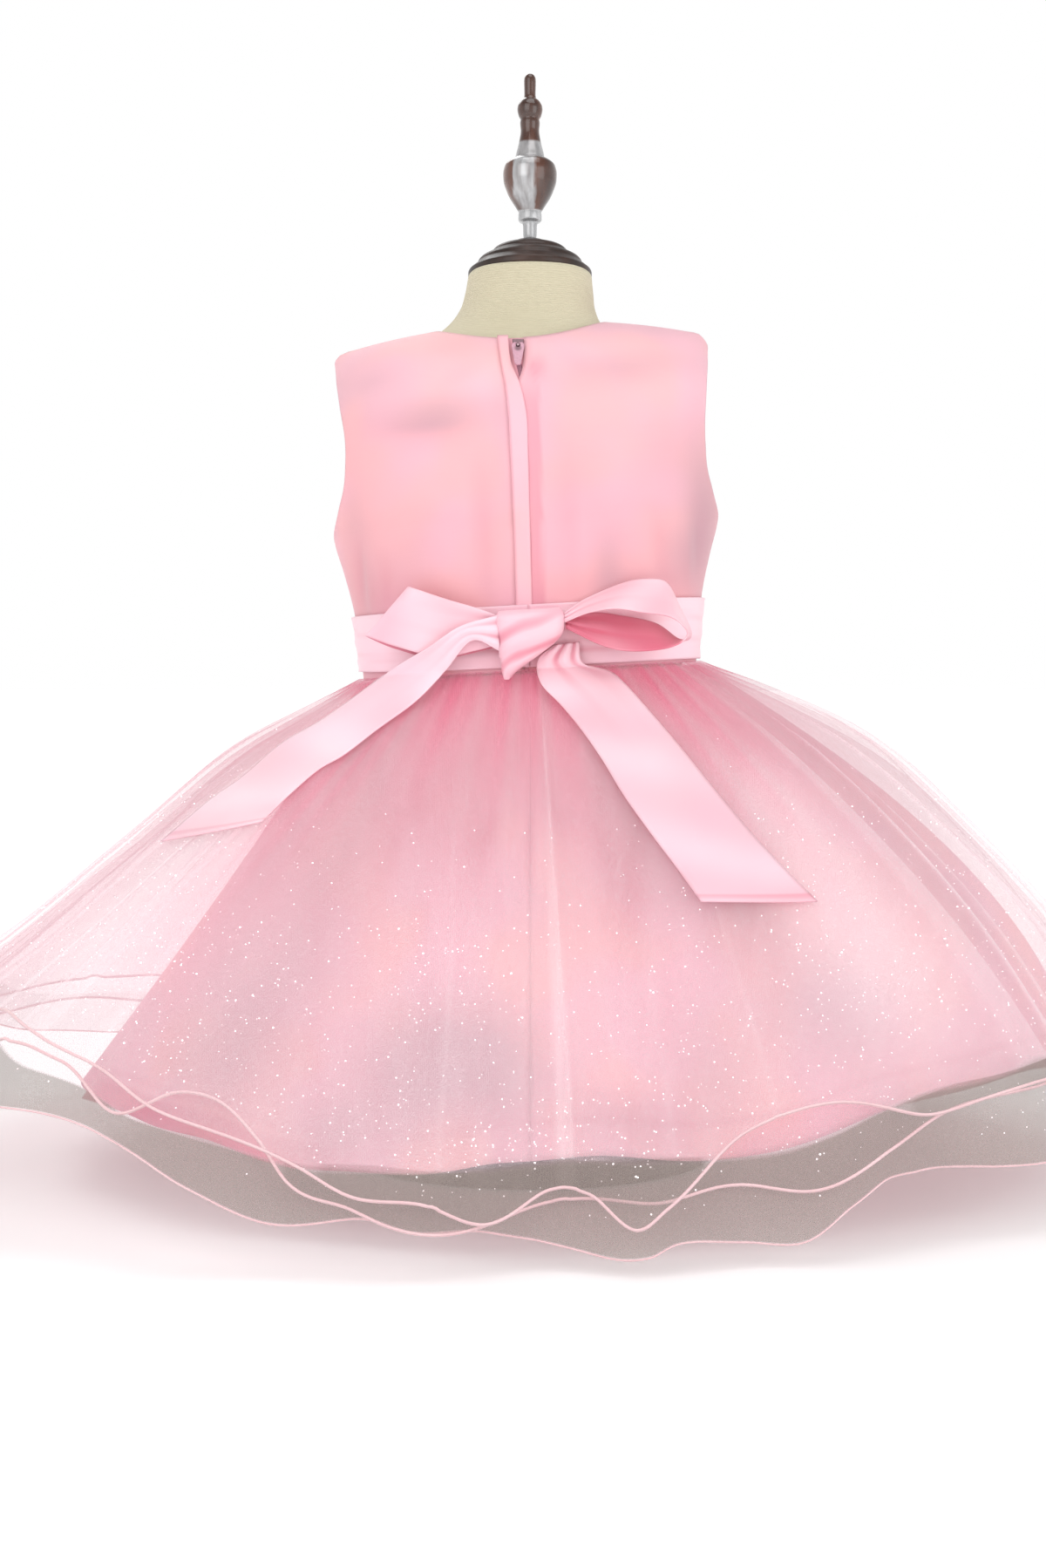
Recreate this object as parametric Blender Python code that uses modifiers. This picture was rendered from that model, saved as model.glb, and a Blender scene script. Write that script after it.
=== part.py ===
"""A sleeveless toddler party dress on a limbless table-top dress form.

Metres, +Z up.  Z = 0 is the surface that the stand's base rests on, and the Z axis is the form's axis.
The back of the dress, with its zip and bow, faces -Y, and the wearer's right-hand side is at +X.
An azimuth is in degrees about the Z axis, from the centre back (-Y) towards +X.
A garment height is above the waist seam, before the dress hangs a little askew.
"""
import bmesh
import bpy
import numpy as np
from mathutils import Matrix, Vector

# ---- driving dimensions ---------------------------------------------------------------------------
WAIST = 0.315            # waist seam above the table
WALL = 0.0012            # satin and linen cloth wall
NET_WALL = 0.0010        # net wall
SEAM = 0.00036           # gap between neighbouring pieces at a seam
TILT = 0.056             # the dress hangs askew: it rises this much per metre towards +X
LEAN = 0.027             # and leans this much towards -X per metre of height
SQUARENESS = 0.06        # how far a body section is from an ellipse towards a rounded box

BODICE_FOOT = 0.0005     # bodice's lower edge, just above the skirt's
SHOULDER_TIP = 0.2137    # garment height of the shoulder seam at the armhole
SHOULDER_HALF = 0.1205   # half the shoulder width
SHOULDER_CREST = 0.227   # height that the shoulder seams would reach at the centre
SHOULDER_FALL = 0.934    # fall of the shoulder seam per square metre of width
ROUND_FROM = 0.45        # share of the height where chest and back start to turn over the shoulder
ROUND_POWER = 7.0        # how late they turn
BACK_NECK = 0.211        # garment height of the neckline at the centre back
BACK_NECK_RISE = 3.9     # and its rise per square metre of width
FRONT_NECK = 0.175       # garment height of the neckline at the centre front
FRONT_NECK_RISE = 15.0

SASH_FOOT = 0.003        # sash: lower and upper edge
SASH_TOP = 0.0425
SASH_GAP = 0.0009        # between bodice wall and sash

NET_TOP = 0.0015         # garment height where the outer net starts
NET_START = 0.0040       # and how far outside the bodice's inner face
NET_STACK = 0.0014       # step from net to net at the waist
NET_SPREAD = 0.0065      # further step from net to net at the hem
SATIN_STACK = 0.0045     # the satin skirt starts this far inside the outer net
SWING_POWER = 1.5        # net folds grow as this power of the way down
SATIN_SWING = 0.30       # satin folds as a share of the net's
GATHERS = 20             # gathers of the satin skirt all round
GATHER_DEPTH = 0.0026    # depth of a gather just below the waist
GATHER_FADE = 0.20       # share of the skirt over which the gathers fade
CORD_RADIUS = 0.0009     # corded hem of the outer and the middle net
FINE_CORD_RADIUS = 0.0006

TAPE_WALL = 0.0007
WELT_WALL = 0.0008
WELT_GAP = 0.0004
RIBBON_WALL = 0.0010

SLIDER_X = -0.0020       # zip slider's centre, and its garment height
SLIDER_HEIGHT = 0.2045
SLIDER_WIDTH = 0.0076
SLIDER_LENGTH = 0.0100
SLIDER_DEPTH = 0.0021
SLIDER_LIFT = 0.0011     # slider's underside above the tape's inner face
PIVOT_LIFT = 0.0040      # pull tab's turning axis above the tape's inner face
TAB_LENGTH = 0.0190
TAB_HEAD = 0.0078        # width of the pull tab at its eye
TAB_TIP = 0.0036
TAB_DEPTH = 0.0009
EYE_WIDTH = 0.0028
EYE_TOP = 0.0005         # from the axis to the eye's upper and lower end
EYE_FOOT = 0.0036
BRIDGE_WIDTH = 0.0016
BRIDGE_HALF_SPAN = 0.0026
BRIDGE_BAR = 0.0007
BRIDGE_INNER = 0.00085   # bridge's inner face above the axis

CAP_RADIUS = 0.0405
NECK_TOP = 0.2575        # height of the neck's rim above the waist seam
NECK_TILT = 7.0          # degrees that the neck's rim rises towards the back
FORM_FOOT = -0.100       # torso's underside, from the waist seam
POLE_RADIUS = 0.008
BASE_RADIUS = 0.120
BASE_HEIGHT = 0.016
REST_GAP = 0.0003        # between solids that rest on each other


def table(names, rows):
    """A short table as a dictionary: each column's name leads to its numbers."""
    return dict(zip(names.split(), np.array(rows, dtype=float).T))


# Inner face of the bodice: half width, and depth behind and before the side seams, at garment heights.
BODICE = table("height half_width back front", [
    (-0.010, 0.1070, 0.0700, 0.0750),
    (0.000, 0.1075, 0.0700, 0.0755),
    (0.025, 0.1100, 0.0705, 0.0770),
    (0.045, 0.1125, 0.0715, 0.0785),
    (0.071, 0.1185, 0.0740, 0.0805),
    (0.091, 0.1240, 0.0765, 0.0820),
    (0.130, 0.1255, 0.0785, 0.0830),
    (0.170, 0.1250, 0.0760, 0.0800),
    (0.200, 0.1225, 0.0715, 0.0750),
    (0.228, 0.1190, 0.0665, 0.0700),
])

# Armholes: azimuth of the cut edge from the centre back, and from the centre front.
ARMHOLE = table("height back front", [
    (-0.010, 90, 90),
    (0.091, 90, 90),
    (0.100, 77, 75),
    (0.115, 68, 65),
    (0.140, 65, 61),
    (0.165, 67, 62),
    (0.190, 73, 69),
    (0.205, 80, 78),
    (0.2137, 90, 90),
])

# Zip: left and right edge of the folded welt, and the edge of the right back panel.
ZIP = table("height welt_left welt_right right_edge", [
    (-0.010, -0.0075, 0.0023, 0.0075),
    (0.100, -0.0076, 0.0023, 0.0076),
    (0.137, -0.0083, 0.0023, 0.0078),
    (0.165, -0.0092, 0.0018, 0.0078),
    (0.183, -0.0107, -0.0020, 0.0075),
    (0.195, -0.0125, -0.0064, 0.0048),
    (0.212, -0.0145, -0.0082, 0.0033),
])
WELT_OVERLAP = 0.0035    # the left back panel reaches this far under the welt

# Nets: reach and height of the hem, and how far the line down to it bulges.
NET = table("azimuth reach height fullness", [
    (-180, 0.335, 0.064, 0.30),
    (-135, 0.372, 0.080, 0.15),
    (-90, 0.405, 0.108, 0.00),
    (-45, 0.392, 0.102, 0.05),
    (0, 0.328, 0.040, 0.25),
    (45, 0.360, 0.080, 0.45),
    (90, 0.392, 0.086, 0.65),
    (135, 0.365, 0.076, 0.45),
])

# Folds of the nets at the hem: how far each ridge stands out and each trough falls in.
FOLDS = table("azimuth swing", [
    (-90, 0.008), (-80, -0.006), (-69, 0.009), (-58, -0.007), (-47, 0.006), (-39, -0.006),
    (-31, 0.008), (-22, -0.004), (-12, 0.009), (-3, 0.002), (3, -0.007), (11, 0.008),
    (21, -0.008), (32, 0.006), (42, -0.005), (52, 0.007), (61, -0.008), (72, 0.008),
    (81, -0.007), (90, 0.009), (101, -0.008), (112, 0.007), (122, -0.005), (133, 0.009),
    (145, -0.008), (156, 0.006), (166, -0.008), (178, 0.009), (190, -0.007), (201, 0.007),
    (211, -0.008), (222, 0.009), (234, -0.006), (244, 0.006), (257, -0.008),
])

# Height of each net's hem above the table: a row for each dip and rise.
OUTER_HEM = table("azimuth height", [
    (-90, 0.112), (-70, 0.106), (-51, 0.125), (-39, 0.104), (-28, 0.080), (-20, 0.059),
    (-13, 0.043), (-4, 0.032), (3, 0.042), (12, 0.039), (21, 0.069), (29, 0.085), (38, 0.076),
    (52, 0.087), (71, 0.072), (90, 0.092), (108, 0.076), (126, 0.090), (146, 0.068),
    (163, 0.084), (180, 0.062), (198, 0.080), (216, 0.070), (235, 0.092), (253, 0.084),
])
MIDDLE_HEM = table("azimuth height", [
    (-88, 0.101), (-70, 0.095), (-51, 0.111), (-44, 0.107), (-35, 0.083), (-30, 0.092),
    (-25, 0.078), (-19, 0.045), (-8, 0.026), (3, 0.038), (10, 0.025), (18, 0.043), (25, 0.039),
    (32, 0.058), (40, 0.072), (54, 0.083), (73, 0.062), (92, 0.080), (110, 0.062),
    (128, 0.076), (147, 0.058), (165, 0.070), (182, 0.050), (200, 0.066), (218, 0.058),
    (236, 0.078), (254, 0.074),
])
INNER_HEM = table("azimuth height", [
    (-85, 0.094), (-66, 0.082), (-47, 0.086), (-38, 0.072), (-29, 0.053), (-20, 0.032),
    (-15, 0.034), (-5, 0.025), (6, 0.014), (17, 0.019), (23, 0.018), (28, 0.031), (37, 0.046),
    (44, 0.040), (54, 0.044), (75, 0.032), (95, 0.048), (115, 0.034), (135, 0.048),
    (155, 0.034), (175, 0.040), (195, 0.032), (215, 0.050), (235, 0.056), (255, 0.082),
])

# Satin skirt: reach and height of its hem above the table, and its bulge.
SATIN = table("azimuth reach height fullness", [
    (-180, 0.285, 0.056, 0.30),
    (-135, 0.290, 0.050, 0.10),
    (-92, 0.290, 0.047, -0.08),
    (-48, 0.286, 0.053, 0.05),
    (-26, 0.285, 0.043, 0.20),
    (-9, 0.285, 0.047, 0.25),
    (6, 0.286, 0.053, 0.25),
    (28, 0.302, 0.055, 0.35),
    (39, 0.314, 0.071, 0.45),
    (52, 0.328, 0.079, 0.60),
    (90, 0.352, 0.070, 0.75),
    (135, 0.320, 0.062, 0.50),
])

# Bow: a row for each bend of a ribbon.  Its two edges are given by x, garment height and
# distance behind the form's axis.
LEFT_LOOP = table("upper_x upper_z upper_out lower_x lower_z lower_out", [
    (-0.0200, 0.0365, 0.0825, -0.0198, 0.0180, 0.0825),
    (-0.0330, 0.0420, 0.0830, -0.0340, 0.0150, 0.0830),
    (-0.0500, 0.0480, 0.0832, -0.0560, 0.0125, 0.0830),
    (-0.0680, 0.0550, 0.0825, -0.0830, 0.0205, 0.0825),
    (-0.0738, 0.0572, 0.0795, -0.1003, 0.0275, 0.0800),
    (-0.0730, 0.0560, 0.0765, -0.0985, 0.0262, 0.0770),
    (-0.0660, 0.0530, 0.0758, -0.0820, 0.0185, 0.0758),
    (-0.0480, 0.0455, 0.0758, -0.0550, 0.0115, 0.0758),
    (-0.0185, 0.0350, 0.0775, -0.0180, 0.0170, 0.0775),
])
RIGHT_LOOP = table("upper_x upper_z upper_out lower_x lower_z lower_out", [
    (0.0219, 0.0352, 0.0820, 0.0219, 0.0297, 0.0870),
    (0.0370, 0.0440, 0.0775, 0.0365, 0.0345, 0.0945),
    (0.0610, 0.0525, 0.0765, 0.0534, 0.0361, 0.0985),
    (0.0760, 0.0538, 0.0755, 0.0700, 0.0328, 0.0985),
    (0.0870, 0.0506, 0.0750, 0.0860, 0.0296, 0.0970),
    (0.0945, 0.0350, 0.0750, 0.0945, 0.0240, 0.0950),
    (0.1012, 0.0180, 0.0765, 0.0978, 0.0180, 0.0925),
    (0.0940, 0.0150, 0.0750, 0.0925, 0.0125, 0.0920),
    (0.0790, 0.0260, 0.0735, 0.0800, 0.0095, 0.0930),
    (0.0570, 0.0320, 0.0730, 0.0600, 0.0098, 0.0930),
    (0.0410, 0.0345, 0.0740, 0.0440, 0.0145, 0.0915),
    (0.0230, 0.0330, 0.0790, 0.0230, 0.0262, 0.0855),
])

# Tails: both edges by x and garment height, and how far they stand off the outer net.
LEFT_TAIL = table("upper_x upper_z upper_lift lower_x lower_z lower_lift", [
    (-0.0190, 0.0362, 0.0155, -0.0182, 0.0140, 0.0155),
    (-0.0429, 0.0304, 0.0205, -0.0354, 0.0213, 0.0190),
    (-0.0630, 0.0185, 0.0245, -0.0522, 0.0039, 0.0160),
    (-0.0845, 0.0076, 0.0165, -0.0707, -0.0139, 0.0090),
    (-0.1092, -0.0087, 0.0080, -0.0943, -0.0298, 0.0055),
    (-0.1332, -0.0239, 0.0050, -0.1136, -0.0435, 0.0045),
    (-0.1576, -0.0366, 0.0043, -0.1293, -0.0518, 0.0043),
    (-0.1795, -0.0549, 0.0043, -0.1448, -0.0644, 0.0043),
    (-0.2005, -0.0690, 0.0043, -0.1527, -0.0718, 0.0043),
    (-0.2260, -0.0900, 0.0043, -0.1606, -0.0793, 0.0043),
])
RIGHT_TAIL = table("upper_x upper_z upper_lift lower_x lower_z lower_lift", [
    (0.0310, 0.0170, 0.0045, 0.0157, 0.0158, 0.0045),
    (0.0330, 0.0038, 0.0065, 0.0050, 0.0070, 0.0075),
    (0.0493, -0.0022, 0.0065, 0.0066, -0.0073, 0.0075),
    (0.0592, -0.0115, 0.0065, 0.0187, -0.0215, 0.0070),
    (0.0775, -0.0348, 0.0060, 0.0310, -0.0378, 0.0065),
    (0.0910, -0.0529, 0.0052, 0.0421, -0.0554, 0.0055),
    (0.1066, -0.0750, 0.0043, 0.0533, -0.0756, 0.0045),
    (0.1266, -0.1017, 0.0040, 0.0683, -0.0984, 0.0043),
    (0.1418, -0.1199, 0.0040, 0.0823, -0.1187, 0.0043),
    (0.1600, -0.1397, 0.0040, 0.0933, -0.1353, 0.0043),
])

# Knot: sections from its tip upwards, by left and right end and by how near and far they stand.
KNOT = table("height left right near far", [
    (-0.0040, -0.0160, -0.0130, 0.0840, 0.0872),
    (0.0010, -0.0178, -0.0075, 0.0790, 0.0900),
    (0.0100, -0.0182, 0.0050, 0.0745, 0.0940),
    (0.0200, -0.0190, 0.0195, 0.0740, 0.0965),
    (0.0300, -0.0196, 0.0215, 0.0742, 0.0960),
    (0.0370, -0.0198, 0.0212, 0.0748, 0.0925),
    (0.0390, -0.0185, 0.0195, 0.0780, 0.0885),
])

# Torso of the form: half width, depths and sideways shift at heights from the waist seam.
TORSO = table("height half_width back front shift", [
    (-0.1000, 0.0960, 0.0620, 0.0660, 0.0000),
    (-0.0970, 0.0990, 0.0650, 0.0690, 0.0000),
    (-0.0600, 0.1020, 0.0670, 0.0715, 0.0000),
    (-0.0200, 0.1000, 0.0650, 0.0705, 0.0000),
    (0.0000, 0.0995, 0.0645, 0.0705, 0.0000),
    (0.0300, 0.1010, 0.0655, 0.0720, -0.0005),
    (0.0600, 0.1050, 0.0680, 0.0740, -0.0012),
    (0.0900, 0.1085, 0.0705, 0.0765, -0.0020),
    (0.1200, 0.1110, 0.0725, 0.0780, -0.0026),
    (0.1500, 0.1110, 0.0710, 0.0755, -0.0030),
    (0.1750, 0.1080, 0.0655, 0.0690, -0.0034),
    (0.1900, 0.1020, 0.0600, 0.0620, -0.0036),
    (0.2000, 0.0925, 0.0545, 0.0535, -0.0037),
    (0.2080, 0.0805, 0.0500, 0.0460, -0.0037),
    (0.2140, 0.0690, 0.0460, 0.0410, -0.0037),
    (0.2190, 0.0592, 0.0430, 0.0385, -0.0036),
    (0.2260, 0.0508, 0.0413, 0.0378, -0.0030),
    (0.2360, 0.0445, 0.0405, 0.0385, -0.0016),
    (0.2470, 0.0420, 0.0405, 0.0400, -0.0005),
    (0.2575, 0.0405, 0.0405, 0.0405, 0.0000),
])
NECK_FOOT = 0.226        # height where the neck starts to tilt

BODICE_ROWS = (BODICE_FOOT, 0.020, 0.0445, 0.066, 0.091, 0.108, 0.126, 0.147, 0.166, 0.182,
               0.195, 0.205, 0.2105, 0.2128, SHOULDER_TIP)
FIRST_ROW_ABOVE_SASH = 2
SKIRT_ROWS = (0.0, 0.07, 0.2, 0.4, 0.6, 0.8, 1.0)
NET_COLUMNS = 28         # of a half skirt
SATIN_COLUMNS = 40
NECK_COLUMNS = 6         # of half a bodice, from its middle to the end of the neckline
SHOULDER_COLUMNS = 6     # and on to the side seam
SASH_COLUMNS = 9         # of a quarter of the sash
RIBBON_STEPS = 3         # between two rows of a ribbon's table
FITTING_STEPS = 60       # of the search for a point on the net
TORSO_SIDES = 26
KNOT_SIDES = 14
KNOT_FULLNESS = 0.8      # power of the knot's rounded section: 1 is an ellipse, less is fuller
SHARP_ANGLE = 50         # degrees between faces of a loft that stay crisp


# ---- curves and surfaces --------------------------------------------------------------------------
def curve(rows, key, name, at, period=0.0):
    """Smooth curve through a column of a table, by cubic steps that pass through its rows."""
    at = np.asarray(at, dtype=float)
    x, y = rows[key], rows[name]
    if period:
        at = (at - x[0]) % period + x[0]
        x = np.concatenate((x[-2:] - period, x, x[:2] + period))
        y = np.concatenate((y[-2:], y, y[:2]))
    slope = np.gradient(y, x)
    i = np.clip(np.searchsorted(x, at, side="right") - 1, 0, len(x) - 2)
    step = x[i + 1] - x[i]
    u = np.clip((at - x[i]) / step, 0, 1)
    return (y[i] * (1 + 2 * u) * (1 - u) ** 2 + y[i + 1] * u * u * (3 - 2 * u)
            + step * (slope[i] * u * (1 - u) ** 2 - slope[i + 1] * u * u * (1 - u)))


def points(x, y, z):
    """Array of points from arrays of their coordinates."""
    return np.stack(np.broadcast_arrays(x, y, z), axis=-1)


def across(azimuth):
    """Share of the half width at an azimuth of a body section."""
    angle = np.radians(azimuth)
    return np.sin(angle + SQUARENESS * np.sin(2 * angle))


def along(azimuth):
    """Share of the depth at an azimuth of a body section, positive towards the back."""
    angle = np.radians(azimuth)
    return np.cos(angle - SQUARENESS * np.sin(2 * angle))


def hang(x, y, z):
    """Points of the garment in the world, leaning and tilted as the dress hangs."""
    return points(x - LEAN * z, y, WAIST + z + TILT * x)


def bodice(azimuth, height):
    """Inner face of the bodice, closing over the shoulders at the shoulder seam."""
    half = curve(BODICE, "height", "half_width", height)
    depth = np.where(along(azimuth) > 0, curve(BODICE, "height", "back", height),
                     curve(BODICE, "height", "front", height))
    crest = shoulder_height(azimuth)
    turn = np.clip((height / crest - ROUND_FROM) / (1 - ROUND_FROM), 0, 1) ** ROUND_POWER
    return hang(half * across(azimuth), -depth * along(azimuth) * np.sqrt(1 - turn), height)


def shoulder_height(azimuth):
    """Garment height of the shoulder seam above an azimuth."""
    return SHOULDER_CREST - SHOULDER_FALL * (SHOULDER_HALF * across(azimuth)) ** 2


def neckline(azimuth):
    """Garment height of the bodice's upper edge: neckline, and shoulder seam outside it."""
    x_squared = (SHOULDER_HALF * across(azimuth)) ** 2
    back = BACK_NECK + BACK_NECK_RISE * x_squared
    front = FRONT_NECK + FRONT_NECK_RISE * x_squared
    return np.minimum(shoulder_height(azimuth), np.where(along(azimuth) > 0, back, front))


def azimuth_at(x, height):
    """Azimuth of a point near the centre back at distance x from it."""
    half = curve(BODICE, "height", "half_width", height)
    return np.degrees(x / half) / (1 + 2 * SQUARENESS)


def moved_out(surface, u, v, distance):
    """Points of a surface of two parameters, moved along its normal, with u before v."""
    step = 1e-3
    along_u = surface(u + step, v) - surface(u - step, v)
    along_v = surface(u, v + step * 1e-2) - surface(u, v - step * 1e-2)
    normal = np.cross(along_u, along_v)
    normal /= np.linalg.norm(normal, axis=-1, keepdims=True)
    return surface(u, v) + normal * np.asarray(distance)[..., None]


def net_surface(azimuth, down):
    """Outer net: a flared line from the waist to the hem at each azimuth, with growing folds."""
    angle = np.radians(azimuth)
    top = bodice(azimuth, np.full(np.shape(azimuth), NET_TOP))
    start_x = top[..., 0] + NET_START * np.sin(angle)
    start_y = top[..., 1] - NET_START * np.cos(angle)
    reach = curve(NET, "azimuth", "reach", azimuth, 360)
    height = curve(NET, "azimuth", "height", azimuth, 360)
    swell = down + curve(NET, "azimuth", "fullness", azimuth, 360) * down * (1 - down)
    swing = curve(FOLDS, "azimuth", "swing", azimuth, 360) * np.abs(down) ** SWING_POWER
    return points(start_x + (reach * np.sin(angle) - start_x) * swell + swing * np.sin(angle),
                  start_y - (reach * np.cos(angle) + start_y) * swell - swing * np.cos(angle),
                  top[..., 2] + (height - top[..., 2]) * down)


def net(azimuth, share, hem, layer):
    """A net of the stack: layer 0 is the outer one, and share 1 is its own hem."""
    top = WAIST + NET_TOP
    reference = curve(NET, "azimuth", "height", azimuth, 360)
    down = share * (top - curve(hem, "azimuth", "height", azimuth, 360)) / (top - reference)
    inward = layer * (NET_STACK + NET_SPREAD * down)
    return moved_out(lambda v, u: net_surface(u, v), down, azimuth, -inward)


def satin_skirt(azimuth, down):
    """Satin skirt: gathered at the waist, smooth and flared at the hem."""
    angle = np.radians(azimuth)
    top = moved_out(lambda v, u: net_surface(u, v), np.zeros(np.shape(azimuth)), azimuth, -SATIN_STACK)
    reach = curve(SATIN, "azimuth", "reach", azimuth, 360)
    height = curve(SATIN, "azimuth", "height", azimuth, 360)
    swell = down + curve(SATIN, "azimuth", "fullness", azimuth, 360) * down * (1 - down)
    fold = SATIN_SWING * curve(FOLDS, "azimuth", "swing", azimuth, 360) * down ** SWING_POWER
    gather = (np.cos(GATHERS * angle) - 1) / 2 * GATHER_DEPTH
    fold = fold + gather * np.minimum(1, down / 0.05) * np.exp(-down / GATHER_FADE)
    return points(top[..., 0] + (reach * np.sin(angle) - top[..., 0]) * swell + fold * np.sin(angle),
                  top[..., 1] - (reach * np.cos(angle) + top[..., 1]) * swell - fold * np.cos(angle),
                  top[..., 2] + (height - top[..., 2]) * down)


def on_net(x, z, lift):
    """Point at x and garment height z behind the outer net, or behind the sash above it, moved
    straight out from the form's axis by the lift."""
    azimuth = np.zeros(np.shape(x))
    world_x, world_z = x - LEAN * z, WAIST + z + TILT * x
    for _ in range(FITTING_STEPS):
        start = net_surface(azimuth, np.zeros(np.shape(x)))[..., 2]
        height = curve(NET, "azimuth", "height", azimuth, 360)
        place = net_surface(azimuth, np.maximum((start - world_z) / (start - height), 0))
        angle = np.radians(azimuth)
        missing = world_x - place[..., 0] - lift * np.sin(angle)
        reach = np.hypot(place[..., 0], place[..., 1]) + lift
        azimuth = np.clip(azimuth + 0.6 * np.degrees(missing / reach), -89, 89)
    return points(place[..., 0] + lift * np.sin(angle), place[..., 1] - lift * np.cos(angle), world_z)


# ---- making objects -------------------------------------------------------------------------------
def material(name, colour, roughness, metallic=0.0):
    """Principled material of one colour."""
    made = bpy.data.materials.new(name)
    made.use_nodes = True
    shader = made.node_tree.nodes["Principled BSDF"]
    shader.inputs["Base Color"].default_value = (*colour, 1.0)
    shader.inputs["Roughness"].default_value = roughness
    shader.inputs["Metallic"].default_value = metallic
    return made


def keep(shape, finish, smooth=True):
    """Puts an object into the dress's collection, with its material."""
    for collection in list(shape.users_collection):
        collection.objects.unlink(shape)
    parts.objects.link(shape)
    shape.data.materials.append(finish)
    if smooth and shape.type == "MESH":
        shape.data.shade_smooth()
    return shape


def sheet(name, grid, wall, finish, offset=1.0):
    """Cloth wall on a grid of points: faces turn to the left of rows seen along columns."""
    rows, columns = grid.shape[:2]
    index = np.arange(rows * columns).reshape(rows, columns)
    faces = np.stack((index[:-1, :-1], index[:-1, 1:], index[1:, 1:], index[1:, :-1]), axis=-1)
    mesh = bpy.data.meshes.new(name)
    mesh.from_pydata(grid.reshape(-1, 3).tolist(), [], faces.reshape(-1, 4).tolist())
    shape = keep(bpy.data.objects.new(name, mesh), finish)
    solidify = shape.modifiers.new("wall", "SOLIDIFY")
    solidify.thickness = wall
    solidify.offset = offset
    return shape


def loft(name, rings, finish):
    """Closed solid through rings of points, from the lowest to the highest."""
    count, sides = rings.shape[:2]
    index = np.arange(count * sides).reshape(count, sides)
    onward = np.roll(index, -1, axis=1)
    faces = np.stack((index[:-1], onward[:-1], onward[1:], index[1:]), axis=-1).reshape(-1, 4).tolist()
    faces += [index[0, ::-1].tolist(), index[-1].tolist()]
    mesh = bpy.data.meshes.new(name)
    mesh.from_pydata(rings.reshape(-1, 3).tolist(), [], faces)
    shape = keep(bpy.data.objects.new(name, mesh), finish)
    mesh.set_sharp_from_angle(angle=np.radians(SHARP_ANGLE))
    return shape


def turned(name, profile, steps, finish, place):
    """Turned solid: a profile of radius and height, top to bottom, on its axis."""
    mesh = bpy.data.meshes.new(name)
    vertices = [(radius, 0.0, height) for radius, height in profile]
    mesh.from_pydata(vertices, [(i, i + 1) for i in range(len(vertices) - 1)], [])
    shape = keep(bpy.data.objects.new(name, mesh), finish, smooth=False)
    shape.matrix_world = place
    screw = shape.modifiers.new("turn", "SCREW")
    screw.steps = screw.render_steps = steps
    screw.use_merge_vertices = True
    screw.merge_threshold = 0.00002
    return shape


def ring_cord(name, path, radius, finish):
    """Closed cord along a ring of points."""
    line = bpy.data.curves.new(name, "CURVE")
    line.dimensions = "3D"
    spline = line.splines.new("POLY")
    spline.points.add(len(path) - 1)
    spline.points.foreach_set("co", np.append(path, np.ones((len(path), 1)), axis=1).ravel())
    spline.use_cyclic_u = True
    line.bevel_depth = radius
    line.bevel_resolution = 0
    return keep(bpy.data.objects.new(name, line), finish)


def plate(name, outlines, depth, finish):
    """Flat plate from closed outlines in its own XY plane; inner outlines are holes."""
    line = bpy.data.curves.new(name, "CURVE")
    line.dimensions = "2D"
    line.fill_mode = "BOTH"
    line.extrude = depth / 2
    for outline in outlines:
        spline = line.splines.new("POLY")
        spline.points.add(len(outline) - 1)
        flat = [(x, y, 0.0, 1.0) for x, y in outline]
        spline.points.foreach_set("co", np.array(flat).ravel())
        spline.use_cyclic_u = True
    return keep(bpy.data.objects.new(name, line), finish)


# ---- the dress ------------------------------------------------------------------------------------
def bodice_rows(azimuth, nominal):
    """Garment heights of a panel's rows: the nominal ones, stretched to its upper edge."""
    share = (nominal - BODICE_FOOT) / (SHOULDER_TIP - BODICE_FOOT)
    return BODICE_FOOT + (neckline(azimuth) - BODICE_FOOT) * share


def bodice_columns():
    """Azimuths of a half panel's columns, crowded towards the corner where neck meets shoulder."""
    rise = np.sqrt((SHOULDER_CREST - BACK_NECK) / (BACK_NECK_RISE + SHOULDER_FALL)) / SHOULDER_HALF
    corner = np.interp(rise, across(np.linspace(0, 90, 181)), np.linspace(0, 90, 181))
    inner = corner * (1 - (1 - np.linspace(0, 1, NECK_COLUMNS + 1)[:-1]) ** 1.5)
    outer = corner + (90 - corner) * np.linspace(0, 1, SHOULDER_COLUMNS + 1)
    return np.concatenate((inner, outer))


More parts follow.
